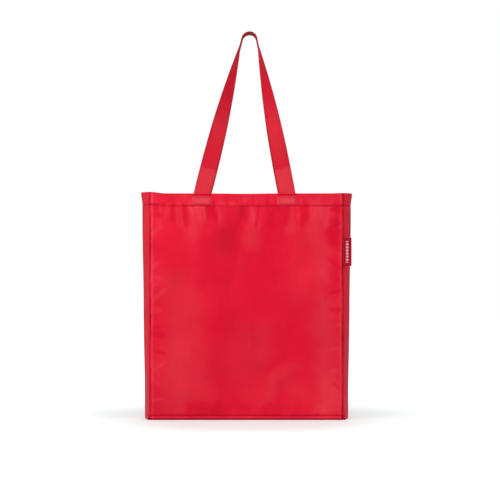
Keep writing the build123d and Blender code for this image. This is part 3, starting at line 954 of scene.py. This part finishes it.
def build_panel(side, end):
    x, z = np.meshgrid(PANEL_X, PANEL_Z)
    outer = panel_points(side, x, z)
    piece = shell(f"{end}_panel_cloth", outer, lined(outer, 1, side, z), shell_cloth,
                  lining_cloth, panel_tone(side, x, z))
    settle(piece, end, "shell_fabric", f"{end}_panel")


def line_on_panel(side, xs, zs, lift=0.0):
    """Points along a line drawn on a panel's outer surface, and its outward direction."""
    xs, zs = np.broadcast_arrays(np.asarray(xs, float), np.asarray(zs, float))
    points = panel_points(side, xs, zs)
    points[:, 1] += side * lift
    return points, (0, side, 0)


def build_hem_stitches(side, end):
    """The long run of stitches that holds the hem."""
    along = np.linspace(-SEAM_X + 3 * MM, SEAM_X - 3 * MM, 320)
    sew(f"{end}_hem_stitches", end, [line_on_panel(side, along, HEM_STITCH_Z, 0.12 * MM)])


def build_bartacks(side, end):
    """Boxes of dense stitching round each strap end, with a heavy bar along the top and foot."""
    runs, bars = [], []
    for hand, _ in HANDS:
        middle = STRAP_MIDDLE + hand * STRAP_FOOT_X
        up = np.linspace(BOX_LOW, BOX_HIGH, 14)
        for z in (BOX_LOW, BOX_HIGH):
            for i in range(BAR_STITCHES):
                x = middle - BOX_HALF + 2 * BOX_HALF * i / (BAR_STITCHES - 1)
                bars.append(line_on_panel(side, [x, x + 0.35 * MM], [z - 0.7 * MM, z + 0.7 * MM]))
        for x in (middle - BOX_HALF, middle + BOX_HALF):
            runs.append(line_on_panel(side, np.full_like(up, x), up, 0.12 * MM))
    boxes = stitches(f"{end}_bartack_boxes", runs, pitch=2.6 * MM)
    heavy = stitches(f"{end}_bartack_bars", bars, gap=0.0, radius=0.26 * MM)
    piece = joined(f"{end}_strap_stitching", [boxes, heavy])
    settle(piece, end, "stitch_thread", f"{end}_handle_bartacks")


# -------- gussets, base and tucks
def gusset_bulge(z):
    """How far a gusset's crease stands out beyond the seams at a height."""
    low = 11.2 * MM + 2.2 * MM * smooth(20 * MM, 200 * MM, z)
    upper = low + 2.4 * MM * smooth(200 * MM, 370 * MM, z)
    return upper + 2.4 * MM * smooth(HEM_STITCH_Z, HEIGHT, z)


def gusset_points(hand, side, t, z):
    """Points on a gusset half's outer surface. t is 0 at the panel seam and 1 at the crease."""
    seed = 1.7 * hand + 0.9 * side
    wave = np.sin(z / (31 * MM) + seed) + 0.6 * np.sin(z / (13 * MM) + 2.1 * seed)
    wave = wave + 0.5 * np.sin(z / (57 * MM) - seed) + 0.4 * np.sin(z / (7.5 * MM) + 3 * seed * t)
    out = gusset_bulge(z) * np.sin(math.pi / 2 * t) ** 0.72
    free = smooth(HEIGHT, HEIGHT - 30 * MM, z)
    out = out + 0.45 * MM * wave * np.sin(math.pi * np.clip(t, 0, 1)) * free
    out = out + 0.8 * MM * hump(t, 1, 0.05)
    out = out - 0.5 * MM * hump(z, HEM_STITCH_Z, 1.3 * MM) * smooth(0, 0.15, t)
    x = hand * (SEAM_X + out - foot_inset(z))
    y = side * HINGE_Y * (1 - t)
    return np.stack([x, y + 0 * z, z + top_flare(x, z)], -1)


def mitre_height(t):
    """Height of a gusset half's mitred foot."""
    return MITRE_START + t * CREASE_LENGTH


def to_crease(hand, side):
    """The direction from a panel seam to the gusset's crease."""
    return Vector((hand * (CREASE_X - SEAM_X), -side * HINGE_Y, 0)).normalized()


def gusset_tone(t, z):
    """Painted shade along the panel seam and the hem's stitches, and a painted highlight that makes the strip a little
    paler away from the seam.
    """
    tone = -0.8 * hump(t, 0, 0.02) - 0.5 * hump(z, HEM_STITCH_Z, 1.1 * MM)
    return np.clip(tone + 0.14 * smooth(0.02, 0.08, t), -1, 1)


def flatten_gusset(piece, hand, side):
    """Lets a gusset half fall flat as the bag closes, just inside the line from seam to crease."""
    normal = Vector((0, 0, 1)).cross(to_crease(hand, side))
    if normal.x * hand < 0:
        normal = -normal
    anchor = Vector((hand * SEAM_X, side * HINGE_Y, 0)) - normal * 0.9 * MM
    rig.squash(piece, "fold", normal, anchor, 0.03)


def build_gusset(hand, flank, side, end, body_end):
    t = np.concatenate([np.linspace(0, 0.12, 9)[:-1], np.linspace(0.12, 1, 26)])
    rise = spaced((0, 0.9, 0.0065), (0.9, 1, 0.003))
    z = mitre_height(t)[None, :] + (HEIGHT - mitre_height(t)[None, :]) * rise[:, None]
    outer = gusset_points(hand, side, np.broadcast_to(t, z.shape), z)
    name, body = f"{flank}_gusset_{end}", f"{flank}_gusset_{body_end}"
    piece = shell(f"{name}_cloth", outer, lined(outer, 0, hand, z), gusset_cloth, lining_cloth,
                  gusset_tone(t, z))
    settle(piece, body, "shell_fabric", name)
    fine = np.linspace(0.05, 0.97, 60)
    points = gusset_points(hand, side, fine, np.full_like(fine, HEM_STITCH_Z))
    row = sew(f"{name}_hem_stitches", body, [(points, (hand, 0, 0))])
    flatten_gusset(piece, hand, side)
    flatten_gusset(row, hand, side)


def base_relief(x, y):
    """Sag of the base's cloth, with its middle crease standing up a little."""
    crease = 0.25 * MM * hump(y, 0, 3 * MM)
    ripple = 0.12 * MM * np.sin(x / (23 * MM) + 0.8) * np.sin(y / (14 * MM))
    return (crease + ripple + 0.12 * MM) * smooth(HINGE_Y, HINGE_Y - 9 * MM, np.abs(y))


def floor_cloth(name, x, y, relief):
    """A sheet of the base's cloth, a little above or below its flat plane."""
    lower = np.stack([x, y, BASE_Z - FABRIC / 2 + relief], -1)
    upper = lower.copy()
    upper[..., 2] += FABRIC
    return shell(name, lower, upper, shell_cloth, lining_cloth)


def build_base(side, end, body_end):
    depth = np.linspace(0, 1, 24)
    across = np.linspace(-1, 1, 120)
    half = BASE_MITRE_X - HINGE_Y * depth
    x = across[None, :] * half[:, None]
    y = np.broadcast_to((side * HINGE_Y * (1 - depth))[:, None], x.shape)
    piece = floor_cloth(f"base_{end}_cloth", x, y, base_relief(x, y))
    settle(piece, f"base_{body_end}", "shell_fabric", f"base_{end}_half")


def build_tuck(hand, flank, side, body_end):
    """A slack corner at the base's end: a side triangle and a floor triangle.

    Each folds away onto its own mitre line as the bag closes."""
    t = np.linspace(0, 1, 26)
    drop = np.linspace(0, 1, 22)
    z = mitre_height(t)[None, :] * (1 - drop[:, None])
    outer = gusset_points(hand, side, np.broadcast_to(t, z.shape), z)
    edge = outer[-1].copy()
    flare = smooth(0.3, 0, t) * (1 + smooth(4 * MM, 0, z))
    outer[..., 0] += hand * TUCK_OUTSET * flare
    # Painted shade along the bottom edge, where the wall meets the floor.
    tone = gusset_tone(t, z) - 0.6 * hump(z, 0, 1.6 * MM)
    wall = shell(f"{flank}_{body_end}_tuck_wall", outer, lined(outer, 0, hand, z), gusset_cloth,
                 lining_cloth, np.clip(tone, -1, 1))
    settle(wall, f"{flank}_gusset_{body_end}", "shell_fabric", f"{flank}_corner_tuck")
    mitre_normal = (Vector((0, 0, 1)) - to_crease(hand, side)).normalized()
    anchor = Vector((hand * SEAM_X, side * HINGE_Y, MITRE_START)) - mitre_normal * 1.2 * MM
    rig.squash(wall, "fold", mitre_normal, anchor, 0.04)

    share = np.linspace(0, 1, 26)[:, None]
    mitre = hand * (BASE_MITRE_X - HINGE_Y * t)
    x = edge[None, :, 0] + (mitre - edge[:, 0])[None, :] * share
    y = np.broadcast_to(side * HINGE_Y * (1 - t), x.shape)
    relief = base_relief(x, y) * smooth(0, 0.4, np.broadcast_to(share, x.shape))
    floor = floor_cloth(f"{flank}_{body_end}_tuck_floor", x, y, relief)
    settle(floor, f"base_{body_end}", "shell_fabric", f"{flank}_corner_tuck")
    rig.squash(floor, "fold", (hand, -side, 0), (hand * BASE_MITRE_X, side * HINGE_Y, 0), 0.06)


# -------- bindings inside
def strip_on_panel(name, side, xs, zs, thickness, lift, material):
    """A flat strip that follows a panel's inner face. xs and zs are its grid lines."""
    x, z = np.meshgrid(xs, zs)
    outer = panel_points(side, x, z)
    edge_x = np.minimum(x - xs[0], xs[-1] - x)
    edge_z = np.minimum(z - zs[0], zs[-1] - z)
    rounded = smooth(-0.2 * MM, 0.8 * MM, np.minimum(edge_x, edge_z))
    inner = outer.copy()
    outer[..., 1] -= side * (FABRIC + lift)
    inner[..., 1] -= side * (FABRIC + lift + thickness * (0.35 + 0.65 * rounded))
    return shell(name, outer, inner, material)


def edge_runs(side, xs, zs, lift, inset):
    """Stitch runs inside a strip's foot, top, left and right edge, on a panel's inner face."""
    left, right = xs[0] + inset, xs[-1] - inset
    low, high = zs[0] + inset, zs[-1] - inset
    long_x, long_z = np.linspace(left, right, 90), np.linspace(low, high, 90)
    runs = []
    for x, z in ((long_x, low), (long_x, high), (left, long_z), (right, long_z)):
        points, _ = line_on_panel(side, x, z, -(FABRIC + lift))
        runs.append((points, (0, -side, 0)))
    return runs


def build_bindings(side, end):
    for hand, flank in HANDS:
        xs = np.linspace(*sorted(hand * x for x in TAPE_X), 9)
        zs = np.linspace(*TAPE_Z, 160)
        name = f"{end}_{flank}_seam_binding"
        piece = strip_on_panel(name, side, xs, zs, 0.5 * MM, 0.05 * MM, binding)
        settle(piece, end, "binding_tape", f"{end}_{flank}_seam_tape")
        runs = edge_runs(side, xs, zs, 0.55 * MM, 1.4 * MM)[2:]
        sew(f"{name}_stitches", end, runs, radius=0.22 * MM)
    xs = np.linspace(-BASE_TAPE_X, BASE_TAPE_X, 150)
    zs = np.linspace(*BASE_TAPE_Z, 9)
    piece = strip_on_panel(f"{end}_base_seam_binding", side, xs, zs, 0.35 * MM, 0.02 * MM, binding)
    settle(piece, end, "binding_tape", f"{end}_base_seam_tape")


# -------- handles
ARCH_CENTRE = HANDLE_RISE - ARCH_RADIUS  # height of the arch's centre above the hem
# The angle from upright of a straight leg that runs tangent to the arch.
LEG_SLOPE = (math.acos(ARCH_RADIUS / math.hypot(STRAP_FOOT_X, ARCH_CENTRE))
             - math.atan2(ARCH_CENTRE, STRAP_FOOT_X))


def leg_stations(low, high, count):
    """Stations up a right leg: x, height above the hem, and the strap's outward angle."""
    stations = []
    for height in np.linspace(low, high, count):
        x = ARCH_RADIUS / math.cos(LEG_SLOPE) + (ARCH_CENTRE - height) * math.tan(LEG_SLOPE)
        settled = min(1, max(0, height) / LEG_SETTLE)
        stations.append((x, height, LEG_SLOPE * settled))
    return stations


def mirrored(stations):
    return [(-x, height, math.pi - angle) for x, height, angle in reversed(stations)]


def strap_frame(side, x, height, outward):
    """Middle of the strap at a station, and its directions across and through."""
    drift = STRAP_MIDDLE + HANDLE_DRIFT * max(0, height) / HANDLE_RISE
    closing = max(0, (height - BEND_HEIGHT) / (HANDLE_RISE - BEND_HEIGHT)) ** CLOSING_CURVE
    y = STRAP_Y - (STRAP_Y - APEX_Y) * closing
    twist = math.pi / 2 * min(1, max(0, height) / TWIST_HEIGHT) ** TWIST_CURVE
    flat = Vector((math.cos(outward), 0, math.sin(outward)))
    across = flat * math.cos(twist) + Vector((0, side * math.sin(twist), 0))
    along = Vector((-math.sin(outward), 0, math.cos(outward)))
    return Vector((x + drift, side * y, HEIGHT + height)), across, along.cross(across)


def strap_profile():
    """Outline across a strap as (across, through): rounded selvedges and two stitched channels."""
    edge, channel = np.linspace(0.86, 1, 6), np.linspace(0.7, 0.84, 5)
    shares = np.concatenate([-edge[::-1], -channel[::-1], np.linspace(-0.6, 0.6, 9), channel, edge])
    top = []
    for share in shares:
        inward = min(1, (1 - abs(share)) / 0.06)
        thick = STRAP_THICKNESS / 2 * math.sqrt(max(0.06, 1 - (1 - inward) ** 2))
        thick -= 0.22 * MM * float(hump(abs(share), STRAP_SEAM, 0.035))
        thick -= 0.10 * MM * float(hump(share, 0, 0.5))
        top.append((share * STRAP_WIDTH / 2, thick))
    return top + [(across, -through) for across, through in reversed(top)]


STRAP_OUTLINE = strap_profile()


def strap_tube(name, side, stations):
    """A length of strap: painted shade along both selvedges, a paler length next to the hem, and the rest a little
    darker.
    """
    rings, tones = [], []
    edges = np.array([abs(a) / (STRAP_WIDTH / 2) for a, _ in STRAP_OUTLINE])
    for x, height, outward in stations:
        middle, across, through = strap_frame(side, x, height, outward)
        rings.append([tuple(middle + across * a + through * b) for a, b in STRAP_OUTLINE])
        paler_foot = 0.26 * float(smooth(PALE_LENGTH + 1 * MM, PALE_LENGTH - 1 * MM, height))
        # Painted shade along both selvedges.
        tones.append(np.clip(paler_foot - 0.05 - 0.85 * smooth(0.93, 0.99, edges), -1, 1))
    return tube(name, np.array(rings), webbing, np.array(tones))


def strap_stitches(name, side, stations):
    """Stitching along both edges of a strap, on both faces."""
    runs = []
    for share in (-STRAP_SEAM, STRAP_SEAM):
        for face in (1, -1):
            points, outs = [], []
            for x, height, outward in stations:
                middle, across, through = strap_frame(side, x, height, outward)
                offset = across * share * STRAP_WIDTH / 2
                points.append(middle + offset + through * face * (STRAP_THICKNESS / 2 - 0.2 * MM))
                outs.append(through * face)
            runs.append((np.array(points), np.array(outs)))
    return stitches(name, runs, radius=0.24 * MM)


def build_strap(side, stations, names, bodies, middle_z, reach, nodes):
    """A length of strap and its stitches, which bend from one body to the next at a height."""
    start, stop = [(0, side * STRAP_Y, middle_z + offset) for offset in (-reach, reach)]
    strap = strap_tube(names[0], side, stations)
    rows = strap_stitches(names[1], side, stations)
    for piece in (strap, rows):
        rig.blend(piece, *bodies, start, stop)
    stands_for(strap, "strap_webbing", *nodes)
    stands_for(rows, "stitch_thread")


def build_handle(side, end, body_end):
    leg_body, top_body = f"{body_end}_handle", f"{body_end}_handle_top"
    name = f"{end}_handle"
    sewn = [(STRAP_FOOT_X, height, 0.0) for height in np.linspace(-HEM + 0.5 * MM, -1.0 * MM, 14)]
    lower = sewn + leg_stations(0, SPLIT_HEIGHT, 56)
    for hand, flank in reversed(HANDS):
        strap = f"{name}_{flank}_strap"
        build_strap(side, lower if hand == RIGHT else mirrored(lower), (strap, f"{strap}_stitches"),
                    (end, leg_body), joints[f"{leg_body}_swing"]["pos_m"][2], 3.5 * MM,
                    (f"{name}_{flank}_end", f"{name}_roots", f"{name}_legs"))
    leg_top = ARCH_CENTRE + ARCH_RADIUS * math.sin(LEG_SLOPE)
    leg = leg_stations(SPLIT_HEIGHT, leg_top, 60)[:-1]
    crown = []
    for angle in np.linspace(LEG_SLOPE, math.pi - LEG_SLOPE, 29):
        height = ARCH_CENTRE + ARCH_RADIUS * math.sin(angle)
        crown.append((ARCH_RADIUS * math.cos(angle), height, angle))
    build_strap(side, leg + crown + mirrored(leg), (f"{name}_top_strap", f"{name}_top_stitches"),
                (leg_body, top_body), joints[f"{leg_body}_bend"]["pos_m"][2], 15 * MM,
                (f"{name}_arch",))


# -------- labels, pocket and flap
def build_side_label():
    low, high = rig.box("side_label")
    xs = np.linspace(low[0] - 0.2 * MM, high[0], 24)
    zs = np.linspace(low[2], high[2], 52)
    x, z = np.meshgrid(xs, zs)
    share = (x - xs[0]) / (xs[-1] - xs[0])
    curl = 0.9 * MM * share**2 * np.sin((z - zs[0]) / (zs[-1] - zs[0]) * math.pi)
    curl += 0.25 * MM * np.sin(z / (6 * MM)) * share
    middle = (low[1] + high[1]) / 2
    edge = np.clip((xs[-1] - x) / (0.5 * MM), 0, 1)
    half = 0.42 * MM * np.sqrt(np.clip(1 - (1 - edge) ** 2, 0.02, 1))
    front = np.stack([x, middle - curl - half, z], -1)
    rear = np.stack([x, middle - curl + half, z], -1)
    piece = shell("side_label_ribbon", front, rear, label_ribbon)
    settle(piece, "side_label", "label_fabric", "side_label")


def build_care_label():
    low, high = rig.box("care_label")
    xs, zs = np.linspace(low[0], high[0], 30), np.linspace(low[2], high[2], 40)
    piece = strip_on_panel("care_label_ribbon", BACK, xs, zs, 0.35 * MM, 0.1 * MM, care_cloth)
    settle(piece, "back", "care_label_fabric", "care_label")
    runs = edge_runs(BACK, xs, zs, 0.5 * MM, 2 * MM)
    sew("care_label_stitches", "back", runs, radius=0.22 * MM)


pocket_low, pocket_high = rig.box("stow_pocket")


def pocket_face(x, z):
    """Depth of the pocket's face: it stands off the panel and rolls back to it at its seams."""
    sides = np.minimum(x - pocket_low[0], pocket_high[0] - x)
    stand = smooth(0, 7 * MM, np.minimum(sides, z - pocket_low[2]))
    rest = panel_depth(BACK, x, z) - FABRIC - 1.0 * MM
    wave = 0.5 * MM * np.sin(x / (17 * MM)) * smooth(pocket_low[2], pocket_high[2], z) * stand
    near_stud = hump(x, 0, 16 * MM) * hump(z, STUD_Z, 16 * MM)
    return rest + (pocket_low[1] - rest) * stand + wave * (1 - near_stud)


def build_pocket():
    low, high, margin = pocket_low, pocket_high, 9 * MM
    xs = spaced((low[0], low[0] + margin, 1 * MM), (low[0] + margin, high[0] - margin, 2.4 * MM),
                (high[0] - margin, high[0], 1 * MM))
    zs = spaced((low[2], low[2] + margin, 1 * MM), (low[2] + margin, high[2], 2.4 * MM))
    x, z = np.meshgrid(xs, zs)
    y = pocket_face(x, z)
    outer, inner = np.stack([x, y, z], -1), np.stack([x, y + FABRIC * 0.9, z], -1)
    piece = shell("stow_pocket_cloth", outer, inner, shell_cloth, lining_cloth)
    settle(piece, "back", "shell_fabric", "stow_pocket")
    runs = []
    for inset in (2.2 * MM, 8.2 * MM):
        up = np.linspace(low[2] + inset, high[2] - 2 * MM, 80)
        along = np.linspace(low[0] + inset, high[0] - inset, 100)
        for line_x, line_z in ((low[0] + inset, up), (high[0] - inset, up),
                               (along, low[2] + inset)):
            line_x, line_z = np.broadcast_arrays(line_x, line_z)
            points = np.stack([line_x, pocket_face(line_x, line_z), line_z], -1)
            runs.append((points, (0, -1, 0)))
    sew("stow_pocket_stitches", "back", runs, radius=0.24 * MM)


def tape_path(front_y, rear_y, foot_z, top_z):
    """Points (y, z) up the front of the pocket's edge, over it and down behind it."""
    middle, radius = (front_y + rear_y) / 2, (rear_y - front_y) / 2
    share = 0.45  # of the points on each face; the rest go over the edge
    path = []
    for turn in np.linspace(0, 1, 24):
        if turn < share:
            path.append((front_y, foot_z + (top_z - foot_z) * turn / share))
        elif turn < 1 - share:
            angle = math.pi * (turn - share) / (1 - 2 * share)
            path.append((middle - radius * math.cos(angle), top_z + radius * math.sin(angle)))
        else:
            path.append((rear_y, foot_z + (top_z - foot_z) * (1 - turn) / share))
    return np.array(path)


def build_pocket_tape():
    """The tape folded over the pocket's upper edge."""
    foot_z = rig.box("pocket_edge_tape")[0][2]
    thickness, clearance = 0.45 * MM, 0.05 * MM
    xs = np.linspace(pocket_low[0] + 0.5 * MM, pocket_high[0] - 0.5 * MM, 90)
    path = tape_path(pocket_low[1] - clearance, pocket_low[1] + FABRIC + clearance, foot_z,
                     pocket_high[2])
    tangent = np.gradient(path, axis=0)
    tangent /= np.linalg.norm(tangent, axis=1)[:, None]
    drift = pocket_face(xs, np.full_like(xs, foot_z)) - pocket_low[1]
    near, far = [], []
    for (y, z), (along_y, along_z) in zip(path, tangent):
        near.append(np.stack([xs, y + drift, np.full_like(xs, z)], -1))
        far.append(np.stack([xs, y + drift - thickness * along_z,
                             z + thickness * along_y + 0 * xs], -1))
    tape = shell("pocket_edge_binding", np.array(far), np.array(near), binding)
    settle(tape, "back", "binding_tape", "pocket_edge_tape")


def build_flap():
    """The pocket's flap: it bends out from its seam, hangs straight and has rounded corners."""
    low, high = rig.box("pocket_flap")
    across = np.linspace(-1, 1, 60)
    down = np.concatenate([np.linspace(0, 0.3, 12)[:-1], np.linspace(0.3, 1, 40)])
    half_width = (high[0] - low[0]) / 2
    outer = np.empty((len(down), len(across), 3))
    for i, share in enumerate(down):
        z = high[2] + (low[2] - high[2]) * share
        into_curve = max(0, FLAP_RADIUS - (z - low[2]))
        inset = FLAP_RADIUS - math.sqrt(max(0, FLAP_RADIUS**2 - into_curve**2))
        bend = float(smooth(FLAP_SHOULDER_Z - 5 * MM, high[2] + 2 * MM, z))
        y = low[1] + (high[1] - 0.9 * MM - low[1]) * bend
        xs = across * (half_width - inset)
        ripple = 0.25 * MM * np.sin(xs / (9 * MM)) * (1 - bend)
        ripple *= 1 - hump(xs, 0, 12 * MM) * hump(z, STUD_Z, 12 * MM)
        outer[i] = np.stack([xs, y + ripple, np.full_like(xs, z)], -1)
    inner = outer.copy()
    inner[..., 1] += FABRIC
    piece = shell("pocket_flap_cloth", outer, inner, shell_cloth, lining_cloth)
    settle(piece, "pocket_flap", "shell_fabric", "pocket_flap")
    above_edge = np.array([0, 0, 3 * MM])
    lines = (outer[4:-5, 3], outer[4:-5, -4], outer[-1, 4:-4] + above_edge)
    sew("pocket_flap_stitches", "pocket_flap", [(line, (0, -1, 0)) for line in lines],
        radius=0.24 * MM)


def build_flap_root():
    """The strip that sews the flap's upper edge to the back panel."""
    low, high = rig.box("pocket_flap_root")
    xs = np.linspace(low[0], high[0], 40)
    zs = np.linspace(low[2] + 1.4 * MM, high[2], 12)
    strip = strip_on_panel("pocket_flap_root_cloth", BACK, xs, zs, 0.3 * MM, 0.05 * MM, shell_cloth)
    settle(strip, "back", "shell_fabric", "pocket_flap_root")
    upper_row = edge_runs(BACK, xs, zs, 0.35 * MM, 2 * MM)[1]
    sew("pocket_flap_root_stitches", "back", [upper_row], radius=0.24 * MM)


def finish_studs():
    """Gives the press stud's four CAD nodes their metal."""
    for name in ("snap_cap", "snap_socket", "snap_stud", "snap_post"):
        node = frame["nodes"][name]
        if not node.material_slots:
            node.data.materials.append(stud_metal)
        for material_slot in node.material_slots:
            material_slot.material = stud_metal


# ======== floor, light and camera
AMBIENT_LIGHT = 0.17  # of the white surroundings, where the camera doesn't look at them
LIGHT_TARGET = Vector((0, 0, 0.25))
FLOOR_REACH = 6.0
VIEW_DISTANCE = 4.0  # from the front panel
VIEW_HEIGHT = 0.3068
VIEW_X = 0.0063
VIEW_WIDTH = 0.902  # of the picture, at the front panel


def build_floor():
    """A pale sheet, lit by its own glow further out so that it fades into the white behind."""
    material, graph, shader = node_material("studio_floor")
    away = graph.add("VectorMath", {0: graph.add("TexCoord", output="Object")}, "Value",
                     operation="LENGTH")
    glow = graph.add("MapRange", {0: away, 1: 0.15, 2: 0.7, 3: 0.36, 4: 1.0},
                     interpolation_type="SMOOTHSTEP")
    seen = graph.add("LightPath", output="Is Camera Ray")
    graph.fill(shader, {
        "Base Color": (0.64, 0.71, 0.71),
        "Roughness": 0.6,
        "Specular IOR Level": 0.15,
        "Emission Color": (1, 1, 1),
        "Emission Strength": graph.calc("MULTIPLY", glow, seen),
    })
    mesh = bpy.data.meshes.new("floor")
    corners = [(x * FLOOR_REACH, y * FLOOR_REACH, 0)
               for x, y in ((-1, -1), (1, -1), (1, 1), (-1, 1))]
    mesh.from_pydata(corners, [], [(0, 1, 2, 3)])
    mesh.materials.append(material)
    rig.stage(linked("floor", mesh))


def area_light(name, place, size, power):
    light = bpy.data.lights.new(name, "AREA")
    light.shape = "RECTANGLE"
    light.size, light.size_y = size
    light.energy = power
    lamp = linked(name, light)
    lamp.location = place
    lamp.rotation_euler = (LIGHT_TARGET - Vector(place)).to_track_quat("-Z", "Y").to_euler()


def build_world():
    """White surroundings that light the bag only faintly."""
    world = bpy.data.worlds.new("studio")
    bpy.context.scene.world = world
    world.use_nodes = True
    graph = NodeGraph(world.node_tree)
    seen = graph.add("LightPath", output="Is Camera Ray")
    strength = graph.calc("MULTIPLY_ADD", seen, 1 - AMBIENT_LIGHT, AMBIENT_LIGHT)
    graph.fill(graph.nodes["Background"], {0: (1, 1, 1), 1: strength})


def build_camera():
    camera = bpy.data.cameras.new("camera")
    camera.sensor_width = 36
    camera.lens = camera.sensor_width * VIEW_DISTANCE / VIEW_WIDTH
    holder = linked("camera", camera)
    holder.location = (VIEW_X, -OUTER_Y - VIEW_DISTANCE, VIEW_HEIGHT)
    holder.rotation_euler = (math.pi / 2, 0, 0)
    bpy.context.scene.camera = holder
    bpy.context.scene.view_settings.view_transform = "Standard"
    bpy.context.scene.view_settings.look = "None"


# ======== build it
for side, end, _ in SIDES:
    build_panel(side, end)
    build_hem_stitches(side, end)
    build_bartacks(side, end)
    build_bindings(side, end)
for side, end, body_end in SIDES:
    build_base(side, end, body_end)
for hand, flank in HANDS:
    for side, end, body_end in SIDES:
        build_gusset(hand, flank, side, end, body_end)
    for side, _, body_end in SIDES:
        build_tuck(hand, flank, side, body_end)
for side, end, body_end in SIDES:
    build_handle(side, end, body_end)
build_side_label()
build_care_label()
build_pocket()
build_pocket_tape()
build_flap()
build_flap_root()
finish_studs()

build_floor()
area_light("left_softbox", (-1.6, -1.25, 0.7), (0.45, 1.2), 20)
area_light("right_softbox", (1.5, -1.3, 0.8), (0.45, 1.2), 13.5)
area_light("top_softbox", (0, -1.2, 2.0), (1.8, 0.6), 15)
area_light("rear_fill", (0, 2.0, 1.5), (1.8, 1.0), 17)
build_world()
build_camera()

low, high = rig.bounds()
with open("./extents.json", "w") as size_file:
    json.dump({"cad": [list(cad_low), list(cad_high)], "visual": [list(low), list(high)]}, size_file)
